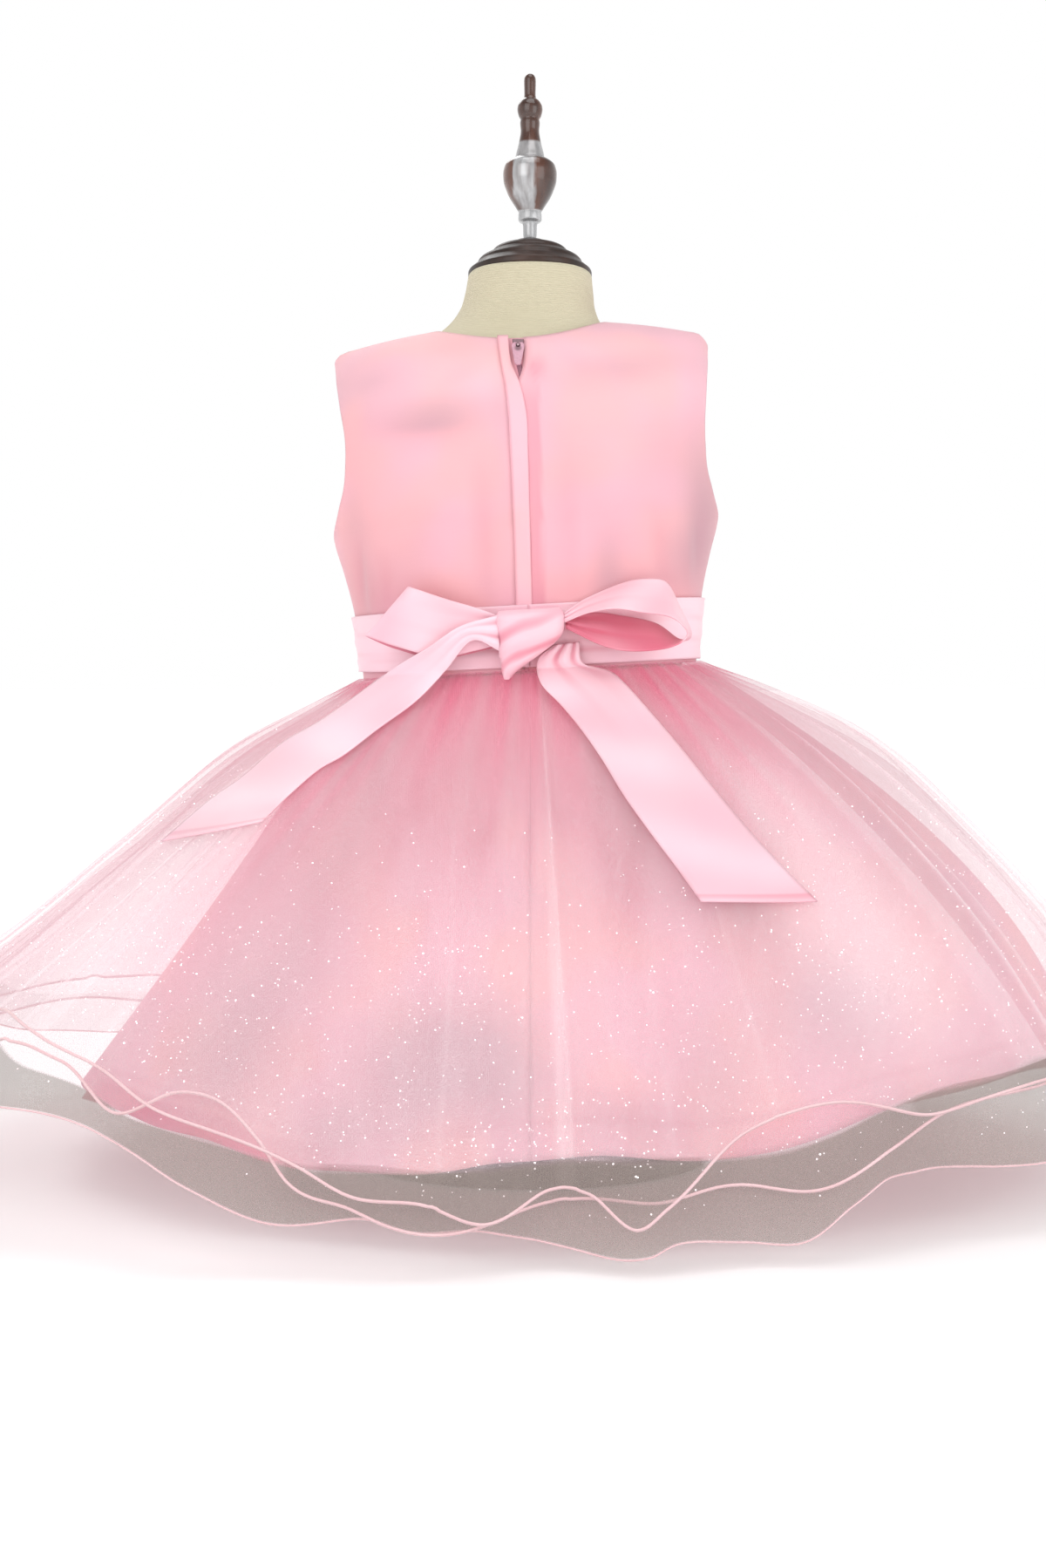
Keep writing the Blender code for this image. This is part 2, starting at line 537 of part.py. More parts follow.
def make_bodice():
    """Front panel in one piece, two back panels, and the zip's tape and folded welt between them."""
    nominal = np.array(BODICE_ROWS)[:, None]
    share = bodice_columns()[None, :] / 90

    edge = np.minimum(curve(ARMHOLE, "height", "front", nominal), 90)
    inward = edge * share
    half = np.concatenate((-inward[:, :0:-1], inward), axis=1)
    azimuth = 180 - half
    front = bodice(azimuth, bodice_rows(azimuth, nominal))
    front[..., 1] += SEAM / 2
    sheet("bodice_front", front[:, ::-1], WALL, satin)

    edge = np.minimum(curve(ARMHOLE, "height", "back", nominal), 90)
    start_left = azimuth_at(curve(ZIP, "height", "welt_left", nominal) + WELT_OVERLAP, nominal)
    start_right = azimuth_at(curve(ZIP, "height", "right_edge", nominal), nominal)
    for name, start, side in (("bodice_back_left", start_left, -1), ("bodice_back_right", start_right, 1)):
        azimuth = start + (side * edge - start) * share
        grid = bodice(azimuth, bodice_rows(azimuth, nominal))
        grid[..., 1] -= SEAM / 2
        sheet(name, grid if side > 0 else grid[:, ::-1], WALL, satin)

    tape_left = start_left + azimuth_at(SEAM, nominal)
    tape_right = start_right - azimuth_at(SEAM, nominal)
    azimuth = tape_left + (tape_right - tape_left) * np.array([[0.0, 0.5, 1.0]])
    tape = bodice(azimuth, bodice_rows(azimuth, nominal))
    tape[..., 1] -= SEAM / 2
    sheet("zip_tape", tape, TAPE_WALL, satin_deep)

    nominal = nominal[FIRST_ROW_ABOVE_SASH:]
    left = azimuth_at(curve(ZIP, "height", "welt_left", nominal), nominal)
    right = azimuth_at(curve(ZIP, "height", "welt_right", nominal), nominal)
    azimuth = left + (right - left) * np.array([[0.0, 0.36, 1.0]])
    height = bodice_rows(azimuth, nominal)
    welt = moved_out(bodice, azimuth, height, np.full(azimuth.shape, WALL + WELT_GAP))
    welt[..., 1] -= SEAM / 2
    sheet("zip_welt", welt, WELT_WALL, satin)


def make_sash():
    """Band over the waist seam: a front piece and the two tie ends that meet behind the knot."""
    height = np.linspace(SASH_FOOT, SASH_TOP, 4)[:, None]
    for name, first, last, count, shift in (
            ("sash_front", 90, 270, 2 * SASH_COLUMNS, (0, SEAM / 2)),
            ("sash_back_left", -90, 0, SASH_COLUMNS, (-SEAM / 2, -SEAM / 2)),
            ("sash_back_right", 0, 90, SASH_COLUMNS, (SEAM / 2, -SEAM / 2))):
        azimuth, heights = np.broadcast_arrays(np.linspace(first, last, count + 1)[None, :], height)
        grid = moved_out(bodice, azimuth, heights, np.full(azimuth.shape, WALL + SASH_GAP))
        grid[..., :2] += shift
        sheet(name, grid, WALL, satin)


def make_skirt():
    """Satin skirt of a front and two back panels, with its seams at the sides and centre back."""
    for name, first, last, count, shift in (
            ("satin_skirt_front", 90, 270, SATIN_COLUMNS, (0, SEAM / 2)),
            ("satin_skirt_back_left", -90, 0, SATIN_COLUMNS // 2, (-SEAM / 2, -SEAM / 2)),
            ("satin_skirt_back_right", 0, 90, SATIN_COLUMNS // 2, (SEAM / 2, -SEAM / 2))):
        azimuth, down = np.broadcast_arrays(np.linspace(first, last, count + 1)[None, :],
                                            np.array(SKIRT_ROWS)[:, None])
        grid = satin_skirt(azimuth, down)
        grid[..., :2] += shift
        sheet(name, grid[::-1], WALL, satin)


def make_nets():
    """Three net overskirts, each a front and a back half, and the cord rolled into each hem."""
    for layer, (name, hem, radius) in enumerate((("net_outer", OUTER_HEM, CORD_RADIUS),
                                                 ("net_middle", MIDDLE_HEM, CORD_RADIUS),
                                                 ("net_inner", INNER_HEM, FINE_CORD_RADIUS))):
        for half, first, last, shift in (("back", -90, 90, -SEAM / 2), ("front", 90, 270, SEAM / 2)):
            azimuth, share = np.broadcast_arrays(np.linspace(first, last, NET_COLUMNS + 1)[None, :],
                                                 np.array(SKIRT_ROWS)[:, None])
            grid = net(azimuth, share, hem, layer)
            grid[..., 1] += shift
            sheet(f"{name}_{half}", grid[::-1], NET_WALL, net_cloth)
        azimuth = np.linspace(-90, 270, 2 * NET_COLUMNS + 1)[:-1]
        edge = net(azimuth, np.ones(azimuth.shape), hem, layer)
        above = net(azimuth, np.full(azimuth.shape, 0.98), hem, layer)
        onward = (edge - above) / np.linalg.norm(edge - above, axis=-1, keepdims=True)
        tangent = np.roll(edge, -1, axis=0) - np.roll(edge, 1, axis=0)
        outward = np.cross(onward, tangent)
        outward /= np.linalg.norm(outward, axis=-1, keepdims=True)
        path = edge + onward * (radius * 1.25 + REST_GAP) + outward * NET_WALL / 2
        ring_cord(f"{name}_hem", path, radius, cord)


def ribbon(name, rows, finish, lies_on_net=False):
    """Ribbon between two edge curves through the rows of its table."""
    rows = dict(rows, step=np.arange(len(rows["upper_x"]), dtype=float))
    step = np.linspace(0, len(rows["step"]) - 1, (len(rows["step"]) - 1) * RIBBON_STEPS + 1)
    third = "lift" if lies_on_net else "out"
    upper = np.stack([curve(rows, "step", f"upper_{part}", step) for part in ("x", "z", third)])
    lower = np.stack([curve(rows, "step", f"lower_{part}", step) for part in ("x", "z", third)])
    share = np.array([0.0, 1 / 3, 2 / 3, 1.0] if lies_on_net else [0.0, 0.5, 1.0])[:, None]
    x, z, away = upper[:, None] + (lower - upper)[:, None] * share
    grid = on_net(x, z, away) if lies_on_net else hang(x, -away, z)
    sheet(name, grid, RIBBON_WALL, finish, 0.0)


def make_bow():
    """Bow of the sash: knot, two loops and two tails."""
    sides = np.linspace(0, 2 * np.pi, KNOT_SIDES, endpoint=False)[None, :]
    height = KNOT["height"][:, None]
    centre_x = (KNOT["left"] + KNOT["right"])[:, None] / 2
    half_x = (KNOT["right"] - KNOT["left"])[:, None] / 2
    centre_out = (KNOT["near"] + KNOT["far"])[:, None] / 2
    half_out = (KNOT["far"] - KNOT["near"])[:, None] / 2
    x = centre_x + half_x * np.sign(np.cos(sides)) * np.abs(np.cos(sides)) ** KNOT_FULLNESS
    out = centre_out - half_out * np.sign(np.sin(sides)) * np.abs(np.sin(sides)) ** KNOT_FULLNESS
    loft("bow_knot", hang(x, -out, height), satin)
    ribbon("bow_loop_left", LEFT_LOOP, satin)
    ribbon("bow_loop_right", RIGHT_LOOP, satin)
    ribbon("bow_tail_left", LEFT_TAIL, satin, lies_on_net=True)
    ribbon("bow_tail_right", RIGHT_TAIL, satin, lies_on_net=True)


def zip_frame():
    """Place of the zip slider: its origin on the tape, X across, Y up the zip and Z outwards."""
    height = np.array(SLIDER_HEIGHT)
    azimuth = azimuth_at(SLIDER_X, height)
    origin = bodice(azimuth, height)
    upward = Vector(bodice(azimuth, height + 0.004) - bodice(azimuth, height - 0.008)).normalized()
    sideways = Vector((1, 0, 0))
    outward = sideways.cross(upward).normalized()
    upward = outward.cross(sideways)
    frame = Matrix((sideways, upward, outward)).transposed().to_4x4()
    frame.translation = Vector(origin) + Vector((0, -SEAM / 2, 0))
    return frame


def make_slider():
    """Zip slider with its bridge, and the pull tab that hangs in the bridge."""
    frame = zip_frame()

    mesh = bpy.data.meshes.new("zip_slider")
    shell = bmesh.new()
    bmesh.ops.create_cube(shell, size=1.0)
    bmesh.ops.scale(shell, vec=(SLIDER_WIDTH, SLIDER_LENGTH, SLIDER_DEPTH), verts=shell.verts)
    for corner in shell.verts:
        if corner.co.y < 0:
            corner.co.x *= 0.62
    shell.to_mesh(mesh)
    shell.free()
    slider = keep(bpy.data.objects.new("zip_slider", mesh), metal, smooth=False)
    slider.matrix_world = frame @ Matrix.Translation((0, 0, SLIDER_LIFT + SLIDER_DEPTH / 2))
    bevel = slider.modifiers.new("edges", "BEVEL")
    bevel.width = 0.0004
    bevel.segments = 1

    foot = SLIDER_LIFT + SLIDER_DEPTH - PIVOT_LIFT - 0.0005
    crown = BRIDGE_INNER + BRIDGE_BAR
    span, bar = BRIDGE_HALF_SPAN, BRIDGE_BAR
    corner = 0.0006
    arch = [(-span, foot), (-span + bar, foot), (-span + bar, BRIDGE_INNER), (span - bar, BRIDGE_INNER),
            (span - bar, foot), (span, foot), (span, crown - corner), (span - corner, crown),
            (-span + corner, crown), (-span, crown - corner)]
    mesh = bpy.data.meshes.new("zip_bridge_shape")
    shell = bmesh.new()
    ring = [shell.verts.new((-BRIDGE_WIDTH / 2, up, out)) for up, out in arch]
    face = shell.faces.new(ring)
    swept = bmesh.ops.extrude_face_region(shell, geom=[face])
    moved = [item for item in swept["geom"] if isinstance(item, bmesh.types.BMVert)]
    bmesh.ops.translate(shell, vec=(BRIDGE_WIDTH, 0, 0), verts=moved)
    bmesh.ops.recalc_face_normals(shell, faces=shell.faces)
    shell.to_mesh(mesh)
    shell.free()
    bridge = bpy.data.objects.new("zip_bridge_shape", mesh)
    bridge.matrix_world = frame @ Matrix.Translation((0, 0, PIVOT_LIFT))
    bridge.hide_render = True
    bridge.display_type = "WIRE"
    cutters.objects.link(bridge)
    join = slider.modifiers.new("bridge", "BOOLEAN")
    join.operation = "UNION"
    join.object = bridge

    head, tip, top = TAB_HEAD / 2, TAB_TIP / 2, EYE_TOP
    outline = [(-head + 0.0012, top), (head - 0.0012, top), (head, -0.0012), (head, -0.0038),
               (tip + 0.0004, -TAB_LENGTH + 0.0030), (tip, -TAB_LENGTH + 0.0008), (tip - 0.0008, -TAB_LENGTH),
               (-tip + 0.0008, -TAB_LENGTH), (-tip, -TAB_LENGTH + 0.0008), (-tip - 0.0004, -TAB_LENGTH + 0.0030),
               (-head, -0.0038), (-head, -0.0012)]
    eye = [(-EYE_WIDTH / 2, -EYE_TOP), (EYE_WIDTH / 2, -EYE_TOP), (EYE_WIDTH / 2, -EYE_FOOT),
           (-EYE_WIDTH / 2, -EYE_FOOT)]
    tab = plate("zip_pull_tab", [outline, eye], TAB_DEPTH, metal)
    tab.matrix_world = frame @ Matrix.Translation((0, 0, PIVOT_LIFT))


# ---- the dress form -------------------------------------------------------------------------------
def make_form():
    """Linen torso with its neck, and the pole and base that carry it."""
    sides = np.linspace(0, 360, TORSO_SIDES, endpoint=False)[None, :]
    height = TORSO["height"][:, None]
    depth = np.where(along(sides) > 0, TORSO["back"][:, None], TORSO["front"][:, None])
    x = TORSO["shift"][:, None] + TORSO["half_width"][:, None] * across(sides)
    y = -depth * along(sides)
    rim = np.clip((height - NECK_FOOT) / (NECK_TOP - NECK_FOOT), 0, 1) ** 1.5
    z = WAIST + height - y * np.tan(np.radians(NECK_TILT)) * rim
    loft("form_torso", points(x, y, z), linen)

    pole_top = WAIST + FORM_FOOT - REST_GAP
    pole_foot = BASE_HEIGHT + REST_GAP
    bpy.ops.mesh.primitive_cylinder_add(vertices=24, radius=POLE_RADIUS, depth=pole_top - pole_foot,
                                        location=(0, 0, (pole_top + pole_foot) / 2))
    pole = bpy.context.object
    pole.name = "stand_pole"
    keep(pole, dark_wood)
    edge = 0.004
    profile = [(0.0, BASE_HEIGHT), (BASE_RADIUS - 2.2 * edge, BASE_HEIGHT),
               (BASE_RADIUS - 0.6 * edge, BASE_HEIGHT - 0.6 * edge),
               (BASE_RADIUS, BASE_HEIGHT - 1.8 * edge), (BASE_RADIUS, edge / 2),
               (BASE_RADIUS - edge / 2, 0.0), (0.0, 0.0)]
    turned("stand_base", profile, 40, dark_wood, Matrix.Identity(4))


def make_cap_and_finial():
    """Stepped wooden cap on the neck, and the turned finial on it, tilted with the neck's rim."""
    place = Matrix.Translation((0, 0, WAIST + NECK_TOP)) @ Matrix.Rotation(np.radians(-NECK_TILT), 4, "X")
    radius = CAP_RADIUS
    cap = [(0.0, 0.0265), (0.0080, 0.0260), (0.0135, 0.0235), (0.0225, 0.0205), (0.0245, 0.0185),
           (0.0250, 0.0170), (0.0320, 0.0135), (0.0340, 0.0115), (0.0345, 0.0095),
           (radius - 0.0025, 0.0065), (radius, 0.0045), (radius, 0.0012), (radius - 0.0008, REST_GAP),
           (0.0, REST_GAP)]
    turned("form_neck_cap", cap, 28, dark_wood, place)
    foot = 0.0265 + REST_GAP
    finial = [(0.0, 0.1400), (0.0026, 0.1390), (0.0040, 0.1365), (0.0037, 0.1250), (0.0042, 0.1225),
              (0.0064, 0.1208), (0.0082, 0.1175), (0.0084, 0.1145), (0.0074, 0.1105), (0.0061, 0.1085),
              (0.0066, 0.1060), (0.0060, 0.1000), (0.0074, 0.0920), (0.0092, 0.0850), (0.0098, 0.0812),
              (0.0130, 0.0800), (0.0166, 0.0770), (0.0178, 0.0720), (0.0174, 0.0650), (0.0140, 0.0560),
              (0.0090, 0.0480), (0.0074, 0.0450), (0.0077, 0.0435), (0.0077, 0.0390), (0.0046, 0.0380),
              (0.0044, foot), (0.0, foot)]
    turned("form_finial", finial, 16, varnish, place)


for old in list(bpy.data.objects):
    bpy.data.objects.remove(old, do_unlink=True)
parts = bpy.data.collections.new("toddler_party_dress")
cutters = bpy.data.collections.new("cutters")
bpy.context.scene.collection.children.link(parts)
bpy.context.scene.collection.children.link(cutters)

satin = material("pink satin", (0.90, 0.56, 0.62), 0.42)
satin_deep = material("deep pink satin", (0.78, 0.34, 0.42), 0.5)
net_cloth = material("pink net", (0.86, 0.72, 0.73), 0.6)
cord = material("pale pink hem cord", (0.92, 0.68, 0.70), 0.5)
metal = material("mauve zip metal", (0.52, 0.36, 0.42), 0.35, 0.7)
linen = material("natural linen", (0.72, 0.66, 0.50), 0.85)
dark_wood = material("dark stained wood", (0.08, 0.04, 0.03), 0.35)
varnish = material("varnished wood", (0.24, 0.11, 0.06), 0.2)

make_bodice()
make_sash()
make_skirt()
make_nets()
make_bow()
make_slider()
make_form()
make_cap_and_finial()
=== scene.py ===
# %% [markdown]
# # A toddler's party dress on its form
# A sleeveless pink satin dress with three glitter nets over a gathered skirt, tied at the back
# with a sash bow, and worn by a linen dress form with a wooden cap and finial.
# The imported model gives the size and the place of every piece.  Here each cloth gets its folds,
# its edges and its finish.  The same formulas that shape the solids shape the cloth, so that
# every piece stays where its solid is.

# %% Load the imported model
import bpy
import numpy as np
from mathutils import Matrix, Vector


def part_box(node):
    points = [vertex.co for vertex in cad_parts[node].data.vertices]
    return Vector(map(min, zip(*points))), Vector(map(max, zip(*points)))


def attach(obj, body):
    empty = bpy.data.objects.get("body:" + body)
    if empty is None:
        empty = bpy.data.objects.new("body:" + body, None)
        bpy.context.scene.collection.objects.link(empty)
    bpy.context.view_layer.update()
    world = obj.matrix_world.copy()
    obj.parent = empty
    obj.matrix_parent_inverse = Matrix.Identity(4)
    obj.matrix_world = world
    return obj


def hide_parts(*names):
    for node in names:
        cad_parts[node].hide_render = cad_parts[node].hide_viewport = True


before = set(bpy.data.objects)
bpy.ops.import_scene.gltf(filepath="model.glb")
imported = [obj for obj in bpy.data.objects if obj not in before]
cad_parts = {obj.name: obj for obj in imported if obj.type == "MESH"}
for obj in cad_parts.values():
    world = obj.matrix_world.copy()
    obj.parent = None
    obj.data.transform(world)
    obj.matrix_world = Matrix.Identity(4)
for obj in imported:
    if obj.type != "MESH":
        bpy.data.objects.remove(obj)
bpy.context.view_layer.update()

# %% [markdown]
# ## The garment's measurements
# A maker works from a few measurements: the waist's height, the depth of each piece, and the
# line of each hem.  They stand here as short tables with a name for every column.  A smooth curve
# through a column gives the measurement anywhere between two rows.

# %% Measurements of the hanging dress
WAIST = 0.315                               # waist seam above the table, all in metres
WALL = 0.0012                               # satin's thickness
SEAM = 0.00036                              # left between neighbouring pieces
TILT, LEAN = 0.056, 0.027                   # the dress hangs askew: it rises to the right, and leans left
SQUARENESS = 0.06                           # of a body section, 0 for an ellipse
BODICE_FOOT, SHOULDER_TIP = 0.0005, 0.2137  # heights above the waist, as all heights on the bodice
SHOULDER_HALF, SHOULDER_CREST, SHOULDER_FALL = 0.1205, 0.227, 0.934
ROUND_FROM, ROUND_POWER = 0.45, 7.0         # where the body's depth starts to close, and how late
BACK_NECK, BACK_NECK_RISE = 0.211, 3.9      # lowest point of the neckline, and rise by width squared
FRONT_NECK, FRONT_NECK_RISE = 0.175, 15.0
SASH_FOOT, SASH_TOP, SASH_GAP = 0.003, 0.0425, 0.0009
NET_TOP, NET_START = 0.0015, 0.0040         # nets' upper edge: its height, and how far out it lies
NET_STACK, NET_SPREAD = 0.0014, 0.0065      # from one net to the next, at the waist and more at the hem
SATIN_STACK, SATIN_SWING = 0.0045, 0.30     # satin inside the nets, and its share of their folds
SWING_POWER = 1.5                           # of the way down, by which folds grow
GATHERS, GATHER_DEPTH, GATHER_FADE = 20, 0.0026, 0.20
SATIN_LENGTH, NET_LENGTH = 0.34, 0.40       # from waist to hem along the cloth


def table(names, rows):
    """A short table as a dictionary: each column's name leads to its numbers."""
    return dict(zip(names.split(), np.array(rows, dtype=float).T))


BODICE = table("height half_width back front", [
    (-0.010, 0.1070, 0.0700, 0.0750), (0.000, 0.1075, 0.0700, 0.0755),
    (0.025, 0.1100, 0.0705, 0.0770), (0.045, 0.1125, 0.0715, 0.0785),
    (0.071, 0.1185, 0.0740, 0.0805), (0.091, 0.1240, 0.0765, 0.0820),
    (0.130, 0.1255, 0.0785, 0.0830), (0.170, 0.1250, 0.0760, 0.0800),
    (0.200, 0.1225, 0.0715, 0.0750), (0.228, 0.1190, 0.0665, 0.0700),
])
ARMHOLE = table("height back front", [
    (-0.010, 90, 90), (0.091, 90, 90), (0.100, 77, 75), (0.115, 68, 65), (0.140, 65, 61),
    (0.165, 67, 62), (0.190, 73, 69), (0.205, 80, 78), (0.2137, 90, 90),
])
ZIP = table("height welt_left welt_right right_edge", [
    (-0.010, -0.0075, 0.0023, 0.0075), (0.100, -0.0076, 0.0023, 0.0076),
    (0.137, -0.0083, 0.0023, 0.0078), (0.165, -0.0092, 0.0018, 0.0078),
    (0.183, -0.0107, -0.0020, 0.0075), (0.195, -0.0125, -0.0064, 0.0048),
    (0.212, -0.0145, -0.0082, 0.0033),
])
NET = table("azimuth reach height fullness", [
    (-180, 0.335, 0.064, 0.30), (-135, 0.372, 0.080, 0.15), (-90, 0.405, 0.108, 0.00),
    (-45, 0.392, 0.102, 0.05), (0, 0.328, 0.040, 0.25), (45, 0.360, 0.080, 0.45),
    (90, 0.392, 0.086, 0.65), (135, 0.365, 0.076, 0.45),
])
FOLDS = table("azimuth swing", [
    (-90, 0.008), (-80, -0.006), (-69, 0.009), (-58, -0.007), (-47, 0.006), (-39, -0.006),
    (-31, 0.008), (-22, -0.004), (-12, 0.009), (-3, 0.002), (3, -0.007), (11, 0.008),
    (21, -0.008), (32, 0.006), (42, -0.005), (52, 0.007), (61, -0.008), (72, 0.008),
    (81, -0.007), (90, 0.009), (101, -0.008), (112, 0.007), (122, -0.005), (133, 0.009),
    (145, -0.008), (156, 0.006), (166, -0.008), (178, 0.009), (190, -0.007), (201, 0.007),
    (211, -0.008), (222, 0.009), (234, -0.006), (244, 0.006), (257, -0.008),
])
OUTER_HEM = table("azimuth height", [
    (-90, 0.112), (-70, 0.106), (-51, 0.125), (-39, 0.104), (-28, 0.080), (-20, 0.059),
    (-15, 0.0455), (-9, 0.042), (-4, 0.0305), (2.5, 0.0445), (5.5, 0.0425), (9.4, 0.0275),
    (12, 0.037), (21, 0.070), (29, 0.085), (38, 0.076),
    (52, 0.087), (71, 0.072), (90, 0.092), (108, 0.076), (126, 0.090), (146, 0.068),
    (163, 0.084), (180, 0.062), (198, 0.080), (216, 0.070), (235, 0.092), (253, 0.084),
])
MIDDLE_HEM = table("azimuth height", [
    (-88, 0.104), (-70, 0.099), (-51, 0.117), (-47, 0.1175), (-43, 0.111), (-35, 0.089), (-31, 0.0985),
    (-27.5, 0.0935), (-23.7, 0.075), (-20.6, 0.055), (-15, 0.044), (-7, 0.030), (3, 0.042), (10, 0.042),
    (20, 0.048), (25.5, 0.0445), (33, 0.064), (38.5, 0.074), (54, 0.087), (73, 0.066), (92, 0.082),
    (110, 0.064), (128, 0.078), (147, 0.060), (165, 0.072), (182, 0.052), (200, 0.068), (218, 0.060),
    (236, 0.080), (254, 0.076),
])
INNER_HEM = table("azimuth height", [
    (-85, 0.100), (-66, 0.088), (-45, 0.093), (-37, 0.083), (-31, 0.072), (-26.7, 0.057), (-22, 0.042),
    (-13, 0.0425), (-9.5, 0.0350), (-3, 0.0325), (0.8, 0.027), (6.2, 0.017), (14, 0.0265), (20, 0.0225),
    (24, 0.021), (28.5, 0.040), (32, 0.052), (37.5, 0.0545), (46, 0.050), (54, 0.050), (75, 0.038),
    (95, 0.052), (115, 0.038), (135, 0.050), (155, 0.036), (175, 0.042), (195, 0.034), (215, 0.052),
    (235, 0.058), (255, 0.086),
])
# Edge of the nets' grey lower band of painted shade, round the body.
PAINTED_SHADE_BAND = table("azimuth height", [
    (-88, 0.137), (-70, 0.133), (-56, 0.121), (-45, 0.110), (-41, 0.103), (-36, 0.092), (-31, 0.0855),
    (-26.7, 0.0775), (-20, 0.065), (-13, 0.0635), (-7, 0.0605), (0, 0.061), (6, 0.0625), (12, 0.065),
    (18, 0.063), (24, 0.0655), (28.5, 0.0740), (32, 0.082), (37.5, 0.0885), (46, 0.095), (54, 0.101),
    (60, 0.099), (70, 0.088), (95, 0.084), (135, 0.082), (180, 0.076), (215, 0.080), (250, 0.104),
])
SATIN = table("azimuth reach height fullness", [
    (-180, 0.285, 0.056, 0.30), (-135, 0.290, 0.050, 0.10), (-92, 0.290, 0.047, -0.08),
    (-48, 0.286, 0.053, 0.05), (-26, 0.285, 0.043, 0.20), (-9, 0.285, 0.047, 0.25),
    (6, 0.286, 0.053, 0.25), (28, 0.302, 0.055, 0.35), (39, 0.314, 0.071, 0.45),
    (52, 0.328, 0.079, 0.60), (90, 0.352, 0.070, 0.75), (135, 0.320, 0.062, 0.50),
])
PANELS = {                # a waist panel's first and last azimuth, and the step that parts the seams
    "front": (90, 270, (0, SEAM / 2)),
    "back_left": (-90, 0, (-SEAM / 2, -SEAM / 2)),
    "back_right": (0, 90, (SEAM / 2, -SEAM / 2)),
}
print("three hems, from", OUTER_HEM["height"].max(), "down to", INNER_HEM["height"].min(), "m")

# %% [markdown]
# ## From measurements to surfaces
# Every piece of cloth here is a surface of two numbers: an azimuth round the body, and a height
# or a share of the way down to the hem.  A body section is nearly an ellipse, and a skirt is a
# line from the waist to the hem that is carried round it.  Working on whole arrays gives all the
# points of a piece at once.


# %% Curves and body sections
def curve(rows, key, name, at, period=0.0):
    """Smooth curve through a column of a table, by cubic steps that pass through its rows."""
    at = np.asarray(at, dtype=float)
    x, y = rows[key], rows[name]
    if period:
        at = (at - x[0]) % period + x[0]
        x = np.concatenate((x[-2:] - period, x, x[:2] + period))
        y = np.concatenate((y[-2:], y, y[:2]))
    slope = np.gradient(y, x)
    i = np.clip(np.searchsorted(x, at, side="right") - 1, 0, len(x) - 2)
    step = x[i + 1] - x[i]
    u = np.clip((at - x[i]) / step, 0, 1)
    return (y[i] * (1 + 2 * u) * (1 - u) ** 2 + y[i + 1] * u * u * (3 - 2 * u)
            + step * (slope[i] * u * (1 - u) ** 2 - slope[i + 1] * u * u * (1 - u)))


def by_azimuth(rows, name, azimuth):
    """Smooth closed curve through a column, once round the body."""
    return curve(rows, "azimuth", name, azimuth, 360)


def by_height(rows, name, height):
    """Smooth curve through a column, from the lowest row to the highest."""
    return curve(rows, "height", name, height)


def points(x, y, z):
    """Array of points from arrays of their coordinates."""
    return np.stack(np.broadcast_arrays(x, y, z), axis=-1)


def across(azimuth):
    """Share of the half width: the sine of the azimuth, squared off a little."""
    angle = np.radians(azimuth)
    return np.sin(angle + SQUARENESS * np.sin(2 * angle))


def along(azimuth):
    """Share of the depth, positive towards the back: the cosine, squared off a little."""
    angle = np.radians(azimuth)
    return np.cos(angle - SQUARENESS * np.sin(2 * angle))


def hang(x, y, z):
    """Garment points in the world: they lean with the height and rise with the width."""
    return points(x - LEAN * z, y, WAIST + z + TILT * x)


def smooth(share):
    """Smooth step from 0 to 1: three times its square less twice its cube."""
    share = np.clip(share, 0, 1)
    return share * share * (3 - 2 * share)


def bell(*distances):
    """Bell: 1 at distance 0, and e to the power of less the sum of the squared distances."""
    return np.exp(-sum(distance ** 2 for distance in distances))


def turn_from(azimuth, start):
    """Turn from a start to an azimuth, from -180 to 180 degrees."""
    return (azimuth - start + 180) % 360 - 180


def unit(vectors):
    """Vectors of length 1."""
    return vectors / np.maximum(np.linalg.norm(vectors, axis=-1, keepdims=True), 1e-12)


def moved_out(surface, u, v, distance):
    """Points of a surface moved along its normal: the cross product of its two slopes."""
    step, small_step = 1e-3, 1e-5
    along_u = surface(u + step, v) - surface(u - step, v)
    along_v = surface(u, v + small_step) - surface(u, v - small_step)
    return surface(u, v) + unit(np.cross(along_u, along_v)) * np.asarray(distance)[..., None]


print("half width at the waist:", by_height(BODICE, "half_width", 0.0), "m")


# %% The bodice's surface
def shoulder_height(azimuth):
    """Height of the shoulder seam: a crest that falls with the square of the width."""
    return SHOULDER_CREST - SHOULDER_FALL * (SHOULDER_HALF * across(azimuth)) ** 2


def bodice(azimuth, height):
    """Body section whose depth closes over the shoulder, as the root of one less a power."""
    half = by_height(BODICE, "half_width", height)
    depth = np.where(along(azimuth) > 0, by_height(BODICE, "back", height),
                     by_height(BODICE, "front", height))
    crest = shoulder_height(azimuth)
    turn = np.clip((height / crest - ROUND_FROM) / (1 - ROUND_FROM), 0, 1) ** ROUND_POWER
    return hang(half * across(azimuth), -depth * along(azimuth) * np.sqrt(1 - turn), height)


def neckline(azimuth):
    """Upper edge: a parabola across the neck, or the shoulder seam where that is lower."""
    x_squared = (SHOULDER_HALF * across(azimuth)) ** 2
    back = BACK_NECK + BACK_NECK_RISE * x_squared
    front = FRONT_NECK + FRONT_NECK_RISE * x_squared
    return np.minimum(shoulder_height(azimuth), np.where(along(azimuth) > 0, back, front))


def azimuth_at(x, height):
    """Azimuth of a point at distance x from the centre back."""
    half = by_height(BODICE, "half_width", height)
    return np.degrees(x / half) / (1 + 2 * SQUARENESS)


print("crest of the shoulder:", round(float(bodice(0.0, shoulder_height(0.0))[2]), 4), "m above the table")


